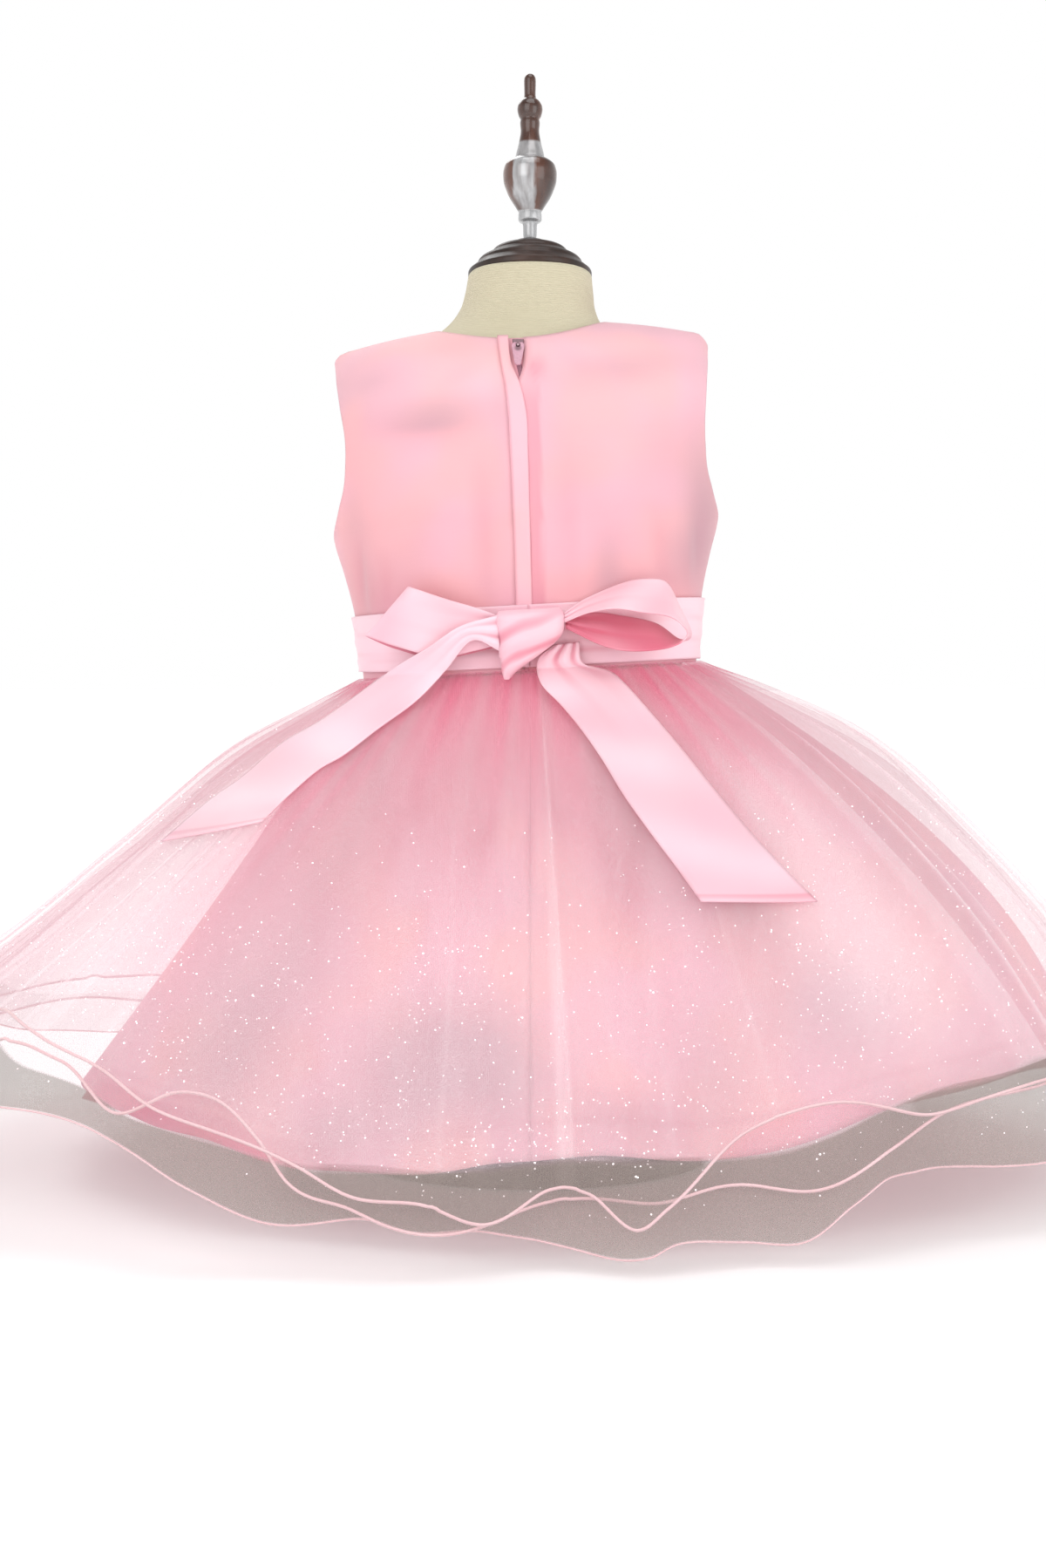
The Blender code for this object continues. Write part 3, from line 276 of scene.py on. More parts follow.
# %% The skirts' surfaces
def skirt_line(top, rows, down, azimuth, fold):
    """Line from the waist to the hem: straight on the way down, while its way out bulges by the
    fullness times the way down times the way left.  A fold moves it further out."""
    angle = np.radians(azimuth)
    x, y, z = top[..., 0], top[..., 1], top[..., 2]
    reach, height, fullness = (by_azimuth(rows, name, azimuth) for name in ("reach", "height", "fullness"))
    swell = down + fullness * down * (1 - down)
    return points(x + (reach * np.sin(angle) - x) * swell + fold * np.sin(angle),
                  y - (reach * np.cos(angle) + y) * swell - fold * np.cos(angle),
                  z + (height - z) * down)


def swing(down, azimuth):
    """Depth of the large folds, which grows with a power of the way down."""
    return by_azimuth(FOLDS, "swing", azimuth) * np.abs(down) ** SWING_POWER


def net_surface(down, azimuth):
    """The nets' shared surface: it starts a little outside the bodice, and swings fully."""
    angle = np.radians(azimuth)
    top = bodice(azimuth, np.full(np.shape(azimuth), NET_TOP))
    top = top + NET_START * points(np.sin(angle), -np.cos(angle), 0)
    return skirt_line(top, NET, down, azimuth, swing(down, azimuth))


def net_down(azimuth, share, hem):
    """Way down on the shared net surface for a share of the way to one net's own hem."""
    top = WAIST + NET_TOP
    reference = by_azimuth(NET, "height", azimuth)
    return share * (top - by_azimuth(hem, "height", azimuth)) / (top - reference)


def satin_surface(down, azimuth):
    """Skirt inside the nets: it swings less, and a cosine that fades gathers it at the waist."""
    level = np.zeros(np.shape(azimuth))
    top = moved_out(net_surface, level, azimuth, level - SATIN_STACK)
    gather = (np.cos(GATHERS * np.radians(azimuth)) - 1) / 2 * GATHER_DEPTH
    gather = gather * np.minimum(1, down / 0.05) * np.exp(-down / GATHER_FADE)
    return skirt_line(top, SATIN, down, azimuth, SATIN_SWING * swing(down, azimuth) + gather)


print("nets' common hem at the centre back:", net_surface(np.array(1.0), np.array(0.0)).round(3))

# %% [markdown]
# ## Turning arrays into meshes
# One helper lays four-sided faces over a grid of points.  It also stores the cloth's own
# coordinates in metres, so that a weave keeps its size and follows the cloth, and three values at
# each point, fold, shade and rose, by which finishes change the colour, mostly as painted shade.
# Cloth stands for the solid of its name.


# %% Grid to mesh
def grid_piece(name, grid, finish, wall=0.0, offset=1.0, closed=False, flip=False, fold=0.0,
               shade=0.0, rose=0.0, cloth=None):
    """Object on a grid of points, with cloth coordinates that are lengths along its two middle
    lines, unless they are given."""
    rows, columns = grid.shape[:2]
    index = np.arange(rows * columns).reshape(rows, columns)
    if closed:
        index = np.append(index, index[:, :1], axis=1)
    quads = np.stack((index[:-1, :-1], index[:-1, 1:], index[1:, 1:], index[1:, :-1]), axis=-1)
    quads = quads.reshape(-1, 4)[:, ::-1] if flip else quads.reshape(-1, 4)
    mesh = bpy.data.meshes.new(name)
    mesh.vertices.add(rows * columns)
    mesh.vertices.foreach_set("co", grid.astype(np.float32).ravel())
    mesh.loops.add(quads.size)
    mesh.loops.foreach_set("vertex_index", quads.astype(np.int32).ravel())
    mesh.polygons.add(len(quads))
    mesh.polygons.foreach_set("loop_start", np.arange(0, quads.size, 4, dtype=np.int32))
    mesh.update(calc_edges=True)
    if cloth is None:
        widths = np.linalg.norm(np.diff(grid[rows // 2], axis=0), axis=-1)
        lengths = np.linalg.norm(np.diff(grid[:, columns // 2], axis=0), axis=-1)
        cloth = np.stack(np.meshgrid(np.append(0, widths.cumsum()), np.append(0, lengths.cumsum())), -1)
    layer = mesh.uv_layers.new(name="cloth")
    layer.data.foreach_set("uv", cloth.reshape(-1, 2)[quads.ravel()].astype(np.float32).ravel())
    # Fold, shade and rose carry painted shade: finishes darken troughs and soft shadows with them, and on the
    # nets fold also paints laid folds whiter.
    for key, value in (("fold", fold), ("shade", shade), ("rose", rose)):
        value = np.broadcast_to(value, (rows, columns)).astype(np.float32)
        mesh.attributes.new(key, "FLOAT", "POINT").data.foreach_set("value", value.ravel())
    mesh.shade_smooth()
    piece = bpy.data.objects.new(name, mesh)
    bpy.context.scene.collection.objects.link(piece)
    mesh.materials.append(finish)
    if wall:
        solidify = piece.modifiers.new("wall", "SOLIDIFY")
        solidify.thickness = wall
        solidify.offset = offset
    return piece


def area_of(grid):
    """Area of a grid: half the length of the cross product of each face's diagonals."""
    first = grid[1:, 1:] - grid[:-1, :-1]
    second = grid[1:, :-1] - grid[:-1, 1:]
    return float(np.linalg.norm(np.cross(first, second), axis=-1).sum() / 2)


def place(piece, body, slot, *nodes):
    """The piece rides on its body and stands for its solids; the slot is not used."""
    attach(piece, body)
    if nodes:
        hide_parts(*nodes)
    return piece


def cloth_piece(node, grid, finish, wall=0.0, slot="pink_satin", order=None, **values):
    """Cloth that stands for the solid of its name.  An order of rows or columns may turn it over,
    with its values, so that its faces look outwards."""
    if order is not None:
        grid, values = grid[order], {key: value[order] for key, value in values.items()}
    return place(grid_piece(node + "_cloth", grid, finish, wall, **values), "dress", slot, node)


def closed_cord(name, path, radius, finish, sides=8):
    """Closed cord: at each point of its path a circle in the plane across the path."""
    ahead = unit(np.roll(path, -1, axis=0) - np.roll(path, 1, axis=0))
    up = np.array((0.0, 0.0, 1.0)) + 0 * ahead
    side = unit(np.cross(ahead, up))
    up = np.cross(side, ahead)
    turn = np.linspace(0, 2 * np.pi, sides, endpoint=False)[None, :, None]
    ring = path[:, None] + radius * (np.cos(turn) * side[:, None] + np.sin(turn) * up[:, None])
    return grid_piece(name, np.append(ring, ring[:1], axis=0), finish, closed=True)


def with_poles(rings):
    """Grid of rings, closed at both ends by a ring that lies in the middle of the last one."""
    foot, top = rings[:1].mean(axis=1, keepdims=True), rings[-1:].mean(axis=1, keepdims=True)
    return np.concatenate((foot + 0 * rings[:1], rings, top + 0 * rings[:1]))


# %% [markdown]
# ## Finishes written as sums
# A shader is easier to read as a sum than as a tangle of nodes.  A small class wraps the output of
# a node, and its operators add the Math nodes.  Everything else comes from one method that takes a
# node's type, its settings and what feeds its sockets.


# %% Shader sums
class Value:
    """An output of a node that can be used in sums."""

    def __init__(self, finish, socket):
        self.finish, self.socket = finish, socket

    def __add__(self, other):
        return self.finish.math("ADD", self, other)

    def __radd__(self, other):
        return self.finish.math("ADD", other, self)

    def __sub__(self, other):
        return self.finish.math("SUBTRACT", self, other)

    def __rsub__(self, other):
        return self.finish.math("SUBTRACT", other, self)

    def __mul__(self, other):
        return self.finish.math("MULTIPLY", self, other)

    def __rmul__(self, other):
        return self.finish.math("MULTIPLY", other, self)


class Finish:
    """A material, and the nodes that are added to it."""

    def __init__(self, name, **constants):
        self.material = bpy.data.materials.new(name)
        self.material.use_nodes = True
        self.tree = self.material.node_tree
        self.shader = self.tree.nodes["Principled BSDF"]
        self.uses(**constants)

    def feed(self, socket, value):
        """Link a value to a socket, or write a number or a colour into it."""
        if isinstance(value, Value):
            self.tree.links.new(value.socket, socket)
        elif isinstance(value, tuple) and len(value) == 3 and socket.type == "RGBA":
            socket.default_value = (*value, 1.0)
        else:
            socket.default_value = value

    def node(self, kind, settings=None, inputs=None, output=0):
        """Any node, from its type, its settings or a ramp's stops, and what feeds its sockets."""
        made = self.tree.nodes.new(kind)
        for key, value in (settings or {}).items():
            if key == "stops":
                ramp = made.color_ramp.elements
                while len(ramp) < len(value):
                    ramp.new(0.5)
                for stop, (position, colour) in zip(ramp, value):
                    stop.position, stop.color = position, (*colour, 1.0)
            else:
                setattr(made, key, value)
        for key, value in (inputs or {}).items():
            self.feed(made.inputs[key], value)
        return Value(self, made.outputs[output])

    def math(self, operation, first, second=0.5):
        """Math node on one or two numbers."""
        return self.node("ShaderNodeMath", {"operation": operation}, {0: first, 1: second})

    def step(self, value, low, high, start=0.0, end=1.0):
        """Soft step of a value, from a start at its low end to an end at its high one."""
        return self.node("ShaderNodeMapRange", {"interpolation_type": "SMOOTHSTEP"},
                         {"Value": value, "From Min": low, "From Max": high, "To Min": start, "To Max": end})

    def uses(self, **links):
        """Feed the shader's sockets, which are named with low lines for spaces."""
        for socket, value in links.items():
            self.feed(self.shader.inputs[socket.replace("_", " ")], value)

    def cloth(self):
        """Place on the cloth, in metres."""
        return self.node("ShaderNodeUVMap", {"uv_map": "cloth"})

    def here(self):
        """Place in the object's own space, in metres."""
        return self.node("ShaderNodeTexCoord", output=3)

    def stored(self, name):
        """Value that the mesh holds under a name."""
        return self.node("ShaderNodeAttribute", {"attribute_name": name}, output=2)

    def noise(self, vector, scale, detail=3.0, stretch=None):
        """Soft noise, which a stretch makes finer along each axis by its number."""
        if stretch:
            vector = self.node("ShaderNodeMapping", inputs={"Vector": vector, "Scale": stretch})
        return self.node("ShaderNodeTexNoise", inputs={"Vector": vector, "Scale": scale, "Detail": detail})

    def threads(self, vector, pitch, direction="X", distortion=0.0):
        """Fine parallel threads, a pitch apart in metres."""
        return self.node("ShaderNodeTexWave", {"bands_direction": direction},
                         {"Vector": vector, "Scale": np.pi / 10 / pitch, "Distortion": distortion,
                          "Detail": 0.0})

    def mix(self, factor, first, second):
        """Colour between two others: the first at factor 0, the second at factor 1."""
        return self.node("ShaderNodeMix", {"data_type": "RGBA"}, {0: factor, 6: first, 7: second}, output=2)

    def bump(self, height, distance):
        """Relief whose height is at most a distance in metres."""
        self.uses(Normal=self.node("ShaderNodeBump", inputs={"Height": height, "Distance": distance}))


# %% [markdown]
# ## Satin
# Satin is woven with long floats, so it gleams in soft broad bands and shows almost no thread.
# Its shadows are deeper and pinker than its lit side, because light goes from pink fold to pink
# fold.  That shade is painted into the colour: a fold value on each piece paints the deep pink into
# the troughs, and a shade value paints grey where soft shadows lie.  Slow noise keeps wide areas
# from looking flat, and a very fine weave breaks the gloss.


# %% Satin finishes
def satin_finish(name, light, deep, roughness=0.42, mottle=0.5):
    """Satin: its light colour varies a little between a cooler and a peach tint, by the mottle.
    It turns to the deep colour by the fold value, to a grey one by the shade value, and a fine
    weave and slubs make its relief."""
    made = Finish(name, Sheen_Weight=0.12, Sheen_Roughness=0.4, Sheen_Tint=(1.0, 0.85, 0.9),
                  Specular_IOR_Level=0.4)
    cloth = made.cloth()
    slow = made.noise(made.here(), 9.0, 2.0)
    warp = made.threads(cloth, 0.00045, "X")
    weft = made.threads(cloth, 0.00038, "Y")
    slub = made.noise(cloth, 60.0, 2.0, stretch=(1.0, 9.0, 1.0))
    cloud = made.noise(made.here(), 17.0, 1.0, stretch=(1.0, 1.0, 0.6))
    cool = (light[0] * (1 - 0.07 * mottle), light[1], light[2] * (1 + 0.11 * mottle))
    peach = (light[0], light[1] * (1 + 0.02 * mottle), light[2] * (1 - 0.07 * mottle))
    patches = made.noise(made.here(), 15.0, 1.5)
    warm = made.mix(made.step(patches, 0.40, 0.60), cool, peach)
    # Painted shade: the fold value turns the colour to the deep pink of a shaded trough, and the shade value
    # to a grey of soft shadow.
    colour = made.mix(made.stored("fold") + 0.34 * slow - 0.16, warm, deep)
    grey = tuple(0.58 * part for part in (light[0], light[1] * 1.08, light[2] * 1.16))
    made.uses(Base_Color=made.mix(made.stored("shade") + 0.6 * cloud - 0.27, colour, grey),
              Roughness=roughness + 0.12 * slub + 0.05 * weft)
    made.bump(warp * 0.4 + weft * 0.6 + slub * 1.5, 0.00004)
    return made.material


satin = satin_finish("pink satin", (0.865, 0.475, 0.515), (0.66, 0.19, 0.26))
ribbon_satin = satin_finish("pale pink ribbon satin", (0.965, 0.690, 0.760), (0.72, 0.17, 0.25),
                            roughness=0.36, mottle=0.12)
skirt_satin = satin_finish("pink skirt satin", (0.97, 0.485, 0.540), (0.60, 0.115, 0.19),
                           roughness=0.45, mottle=0.8)
tape_cloth = satin_finish("rose zip tape", (0.80, 0.37, 0.43), (0.50, 0.16, 0.23), 0.6)
print("satins made:", satin.name, "/", ribbon_satin.name, "/", skirt_satin.name, "/", tape_cloth.name)

# %% [markdown]
# ## Bodice
# A front in one piece and two back panels meet at the sides and shoulders.  Each panel is a grid
# from the centre to its armhole edge and from the waist to its upper edge.  Soft creases are set
# as ridges and troughs along short lines: the cloth pulls a little at the zip, at the
# underarm and above the tight sash.

# %% Creases
BACK_CREASES = table("x1 z1 x2 z2 width depth", [
    (-0.100, 0.082, -0.097, 0.040, 0.0035, 0.0016),
    (-0.106, 0.090, -0.105, 0.045, 0.0040, -0.0014),
    (-0.090, 0.078, -0.088, 0.042, 0.0050, -0.0010),
    (-0.095, 0.160, -0.030, 0.150, 0.0120, -0.0012),
    (-0.110, 0.175, -0.080, 0.195, 0.0080, 0.0008),
    (-0.060, 0.120, -0.055, 0.050, 0.0140, 0.0012),
    (-0.028, 0.130, -0.025, 0.045, 0.0070, -0.0010),
    (0.026, 0.145, 0.028, 0.048, 0.0080, -0.0010),
    (0.046, 0.110, 0.044, 0.050, 0.0100, 0.0010),
    (0.082, 0.095, 0.088, 0.045, 0.0060, -0.0012),
    (0.098, 0.098, 0.102, 0.045, 0.0045, 0.0014),
    (0.110, 0.100, 0.108, 0.060, 0.0040, -0.0012),
    (0.030, 0.196, 0.095, 0.180, 0.0100, -0.0010),
    (0.020, 0.205, 0.040, 0.190, 0.0060, -0.0009),
    (-0.020, 0.200, -0.050, 0.185, 0.0070, -0.0008),
])
FRONT_CREASES = table("x1 z1 x2 z2 width depth", [
    (-0.100, 0.090, -0.095, 0.045, 0.0040, 0.0014),
    (0.100, 0.090, 0.096, 0.045, 0.0040, 0.0014),
    (-0.070, 0.120, -0.050, 0.050, 0.0100, -0.0012),
    (0.072, 0.115, 0.052, 0.050, 0.0100, -0.0012),
    (-0.090, 0.150, -0.030, 0.165, 0.0100, -0.0010),
    (0.092, 0.152, 0.034, 0.166, 0.0100, -0.0010),
    (0.000, 0.110, 0.003, 0.048, 0.0120, 0.0010),
    (-0.030, 0.080, -0.026, 0.046, 0.0050, -0.0008),
    (0.024, 0.078, 0.028, 0.046, 0.0050, -0.0008),
])


# Painted shade: soft grey patches on the bodice, each with its middle, half sizes and amount.
SOFT_SHADE = table("x z half_width half_height amount", [
    (-0.055, 0.166, 0.040, 0.010, 0.50), (-0.060, 0.157, 0.028, 0.006, 0.40),
    (-0.090, 0.188, 0.030, 0.014, 0.30), (0.100, 0.070, 0.016, 0.024, 0.60),
    (0.050, 0.060, 0.010, 0.024, 0.40), (0.075, 0.193, 0.040, 0.012, 0.40),
    (-0.026, 0.088, 0.010, 0.045, 0.22), (-0.100, 0.055, 0.008, 0.030, 0.32),
    (-0.014, 0.160, 0.006, 0.040, 0.16), (0.088, 0.130, 0.018, 0.026, 0.26),
    (0.040, 0.180, 0.030, 0.012, 0.22), (0.070, 0.052, 0.024, 0.010, 0.25),
    (-0.062, 0.090, 0.016, 0.030, 0.14), (0.114, 0.100, 0.012, 0.040, 0.60),
    (-0.108, 0.100, 0.008, 0.030, 0.18),
])


def shaded(patches, x, z):
    """Sum of soft oval patches, each a bell of the distance from its middle."""
    total = np.zeros(np.broadcast(x, z).shape)
    for middle_x, middle_z, wide, high, amount in zip(*patches.values()):
        total += amount * bell((x - middle_x) / wide, (z - middle_z) / high)
    return total


def creased(creases, x, z):
    """Sum of ridges: each falls off as a bell with the distance from its line, and at its ends."""
    total = np.zeros(np.broadcast(x, z).shape)
    for x1, z1, x2, z2, width, depth in zip(*creases.values()):
        run_x, run_z = x2 - x1, z2 - z1
        share = ((x - x1) * run_x + (z - z1) * run_z) / (run_x ** 2 + run_z ** 2)
        held = np.clip(share, 0, 1)
        distance = np.hypot(x - x1 - held * run_x, z - z1 - held * run_z)
        total += depth * bell(distance / width) * (0.35 + 0.65 * np.sin(np.pi * held))
    return total


print("creases on the back and the front:", len(BACK_CREASES["depth"]), len(FRONT_CREASES["depth"]))

# %% Bodice panels
PANEL_ROWS, PANEL_COLUMNS = 110, 72


def panel_heights(azimuth, nominal):
    """Heights of a panel's rows: the nominal ones, stretched to its upper edge."""
    share = (nominal - BODICE_FOOT) / (SHOULDER_TIP - BODICE_FOOT)
    return BODICE_FOOT + (neckline(azimuth) - BODICE_FOOT) * share


def bodice_panel(azimuth, nominal, creases):
    """Panel's grid, fold and shade values: the bodice moved out by its creases, which die away at
    the shoulder, and by a turned upper edge: a low ridge with a stitch line below it."""
    heights = panel_heights(azimuth, nominal)
    x = by_height(BODICE, "half_width", heights) * across(azimuth)
    lift = creased(creases, x, heights)
    below_edge = neckline(azimuth) - heights
    facing = 0.0004 * bell(below_edge / 0.004) - 0.0003 * bell((below_edge - 0.008) / 0.002)
    calm = smooth((SHOULDER_TIP - heights) / 0.03)
    grid = moved_out(bodice, azimuth, heights, lift * calm + facing * calm)
    # Painted shade in the fold value: darker in the creases' troughs and just above the sash, and lighter
    # along the top, where the light falls.
    fold = np.clip(-lift / 0.0014, 0, 1) * 0.16 * calm + 0.12 * bell((heights - 0.045) / 0.02)
    fold = fold + 0.22 * smooth((0.196 - heights) / 0.05) - 0.05
    return grid, fold, shaded(SOFT_SHADE, x, heights) * calm


def armhole_edge(side, nominal, inset, rounds_from):
    """Azimuth of an armhole's edge; the inset draws its middle in by a few degrees, and the edge
    rounds off towards the shoulder seam by the square of the height above a start."""
    edge = np.minimum(by_height(ARMHOLE, side, nominal), 90)
    corner = 23 * np.clip((nominal - rounds_from) / (SHOULDER_TIP - rounds_from), 0, 1) ** 2
    return np.minimum(edge - inset * bell((nominal - 0.150) / 0.035), 90 - corner)


nominal = np.linspace(BODICE_FOOT, SHOULDER_TIP, PANEL_ROWS)[:, None]
share = np.linspace(0, 1, PANEL_COLUMNS)[None, :] ** 0.95
ARMHOLE_CUT = {"left": (4.0, 0.203), "right": (1.5, 0.190)}     # inset, and where it rounds off
left_edge, right_edge = (armhole_edge("front", nominal, *ARMHOLE_CUT[side]) for side in ("left", "right"))
half = np.concatenate((-(right_edge * share)[:, :0:-1], left_edge * share), axis=1)
grid, fold, _ = bodice_panel(180 + half, nominal, FRONT_CREASES)
grid[..., 1] += SEAM / 2
front = cloth_piece("bodice_front", grid, satin, WALL, fold=fold)
bodice_areas = {"front": area_of(grid)}

WELT_OVERLAP = 0.0035
start_left = azimuth_at(by_height(ZIP, "welt_left", nominal) + WELT_OVERLAP, nominal)
start_right = azimuth_at(by_height(ZIP, "right_edge", nominal), nominal)
UNDERLAP = table("height edge", [           # of the right panel, which ends under the welt
    (0.000, -0.0010), (0.165, -0.0020), (0.183, -0.0034), (0.188, -0.0008), (0.195, 0.0008), (0.2137, 0.0014),
])
under_welt = azimuth_at(by_height(UNDERLAP, "edge", nominal), nominal)
for name, start, side in (("left", start_left, -1), ("right", under_welt, 1)):
    azimuth = start + (side * armhole_edge("back", nominal, *ARMHOLE_CUT[name]) - start) * share
    grid, fold, shade = bodice_panel(azimuth, nominal, BACK_CREASES)
    if side > 0:
        past = azimuth - start_right
        heights = panel_heights(azimuth, nominal)
        grid[..., 1] -= 0.0009 * (1 - smooth((past + 0.3) / 1.5))
        # Painted shade: a deeper stripe along the underlap beside the welt, and a dark spot in the welt's
        # opening at the neck.
        band = (1 - smooth((past - 0.6) / 0.9)) * (1 - 0.6 * smooth((heights - 0.165) / 0.02))
        fold = fold + 0.34 * band + 0.45 * bell((heights - 0.190) / 0.008, (azimuth - 4) / 2.5)
    grid[..., 1] -= SEAM / 2
    bodice_areas[name] = area_of(grid)
    panel = cloth_piece(f"bodice_back_{name}", grid, satin, WALL, order=np.s_[:, ::side],
                        fold=fold, shade=shade)
print("bodice areas in square metres:", {key: round(value, 4) for key, value in bodice_areas.items()})

# %% [markdown]
# ## Zip
# The tape lies between the two back panels under a folded welt.  At the neck the welt falls open
# and shows the coil of the zip.  A coil is a row of tiny loops; at this size a ridge with a wave
# along it has the same look for few faces.

# %% Tape, coil and welt
tape_left = start_left + azimuth_at(SEAM, nominal)
tape_right = start_right - azimuth_at(SEAM, nominal)
azimuth = tape_left + (tape_right - tape_left) * np.linspace(0, 1, 13)[None, :]
tape = bodice(azimuth, panel_heights(azimuth, nominal))
tape[..., 1] -= SEAM / 2
zip_tape = cloth_piece("zip_tape", tape, tape_cloth, 0.0007, "deep_pink_satin")

coil_metal = Finish("mauve zip coil", Base_Color=(0.34, 0.16, 0.21), Roughness=0.4, Metallic=0.35)
coil_metal.bump(coil_metal.noise(coil_metal.here(), 900.0), 0.00003)
COIL_PITCH, COIL_TOP, COIL_FOOT = 0.0011, 0.2005, 0.180
loops = int((COIL_TOP - COIL_FOOT) / COIL_PITCH)
height = np.linspace(COIL_FOOT, COIL_TOP, loops * 6)[:, None]
wave = np.cos(2 * np.pi * (height - COIL_FOOT) / COIL_PITCH)
profile = np.linspace(-1, 1, 9)[None, :]
middle = (by_height(ZIP, "welt_left", height) + WELT_OVERLAP
          + by_height(ZIP, "right_edge", height)) / 2
COIL_HALF, COIL_HEIGHT = 0.0017, 0.0008
coil_x = middle + profile * COIL_HALF
dome = np.sqrt(np.clip(1 - profile ** 2, 0, 1)) * COIL_HEIGHT * (0.8 + 0.2 * wave) + 0.0008
coil = moved_out(bodice, azimuth_at(coil_x, height), height + 0 * profile, dome)
place(grid_piece("zip_coil", coil, coil_metal.material), "dress", "mauve_zip_metal")

WELT_FROM, WELT_WALL = 0.036, 0.0008
heights = np.linspace(WELT_FROM, SHOULDER_TIP, PANEL_ROWS)[:, None]
left = azimuth_at(by_height(ZIP, "welt_left", heights), heights)
right = azimuth_at(by_height(ZIP, "welt_right", heights), heights)
share = np.linspace(0, 1, 17)[None, :]
azimuth = left + (right - left) * share
height = panel_heights(azimuth, heights)
crown = 0.0005 * np.sin(np.pi * share) ** 0.5
crown = crown + 0.0002 * np.sin(9 * np.pi * heights / SHOULDER_TIP + 4 * share)
welt = moved_out(bodice, azimuth, height, WALL + WELT_WALL + crown)
welt[..., 1] -= SEAM / 2
# Painted shade: darker lines along the stitching near the welt's left side and at its right edge.
stitch_and_edge_shade = 0.8 * bell((share - 0.07) / 0.05) + 0.5 * bell((share - 1) / 0.05)
zip_welt = cloth_piece("zip_welt", welt, satin, WELT_WALL, fold=0.5 * stitch_and_edge_shade + 0 * heights)
print("coil loops:", loops)

# %% [markdown]
# ## Sash
# The sash is a straight band over the waist seam.  Pulled tight and tied, it gets flat horizontal
# wrinkles that deepen towards the knot, and a few at each side seam.


# %% Sash
def sash_piece(first, last, shift):
    """Band over the bodice: two waves of lengthwise wrinkles, deeper towards the knot and a
    little at the side seams, and a roll along each edge."""
    azimuth = np.linspace(first, last, 120 * (last - first) // 90)[None, :]
    foot = SASH_FOOT + 0.0035 * bell(turn_from(azimuth, -90) / 50)
    azimuth, share = np.broadcast_arrays(azimuth, np.linspace(0, 1, 26)[:, None])
    height = foot + (SASH_TOP - foot) * share
    from_knot = np.abs(turn_from(azimuth, 0))
    pull = 0.25 + 0.75 * bell(from_knot / 26) + 0.35 * bell((from_knot - 90) / 9)
    wave = np.sin(2 * np.pi * (2.6 * share + 0.15 * np.sin(np.radians(azimuth) * 5)))
    fine = np.sin(2 * np.pi * (6.1 * share + 0.3 * np.sin(np.radians(azimuth) * 3 + 1)))
    lift = (0.0006 * wave + 0.00025 * fine) * pull * np.sin(np.pi * share) ** 0.3
    roll = 0.0005 * bell(np.minimum(share, 1 - share) / 0.04)
    grid = moved_out(bodice, azimuth, height, WALL + SASH_GAP + np.maximum(lift + roll, -0.0005))
    grid[..., :2] += shift
    # Painted shade in the fold value: darker in the wrinkles' troughs, at the side seams, and towards the
    # knot, under the bow.
    side_seam_shade = bell((from_knot - 90) / 4) * (1 - smooth((share - 0.1) / 0.5))
    fold = np.clip(-lift / 0.0007, 0, 1) * 0.45 + 0.9 * side_seam_shade + 0.25 * bell(from_knot / 22)
    return grid, np.clip(fold, 0, 1)


sash_areas = {}
for name, (first, last, shift) in PANELS.items():
    grid, fold = sash_piece(first, last, shift)
    sash_areas[name] = area_of(grid)
    band = cloth_piece(f"sash_{name}", grid, ribbon_satin, WALL, fold=fold)
    0.31 if name == "front" else 0.15
print("sash areas:", {key: round(value, 4) for key, value in sash_areas.items()})

# %% [markdown]
# ## Satin skirt
# The skirt is cut wide and gathered into the waist.  Near the seam the gathers are narrow and
# deep; they open out and die away, and below them the cloth falls in a few broad soft folds.
# The hem is turned up and stitched, which leaves a shallow line above the edge.

# %% Satin skirt
SOFT_FOLDS = table("azimuth width depth from_share to_share", [
    (-78, 6.0, -0.0050, 0.20, 1.20), (-66, 5.0, 0.0045, 0.25, 1.20), (-52, 6.0, -0.0045, 0.30, 1.20),
    (-38, 5.0, 0.0035, 0.30, 1.10), (-27, 5.5, -0.0055, 0.45, 1.15), (-14, 7.0, -0.0080, 0.55, 1.15),
    (-4, 3.5, 0.0040, 0.20, 1.10), (8, 4.0, 0.0030, 0.30, 1.10), (19, 6.0, -0.0060, 0.35, 1.10),
    (33, 5.0, 0.0040, 0.30, 1.15), (47, 6.0, -0.0050, 0.30, 1.20), (62, 5.0, 0.0045, 0.25, 1.20),
    (76, 6.0, -0.0050, 0.25, 1.20), (98, 6.0, 0.0045, 0.25, 1.20), (114, 6.0, -0.0055, 0.30, 1.20),
    (131, 6.0, 0.0045, 0.30, 1.20), (148, 7.0, -0.0060, 0.30, 1.20), (166, 6.0, 0.0045, 0.25, 1.20),
    (183, 7.0, -0.0060, 0.30, 1.20), (201, 6.0, 0.0045, 0.30, 1.20), (219, 7.0, -0.0055, 0.30, 1.20),
    (237, 6.0, 0.0045, 0.25, 1.20), (254, 6.0, -0.0050, 0.30, 1.20),
])
HEM_TURN = 0.022                            # depth of the turned-up hem
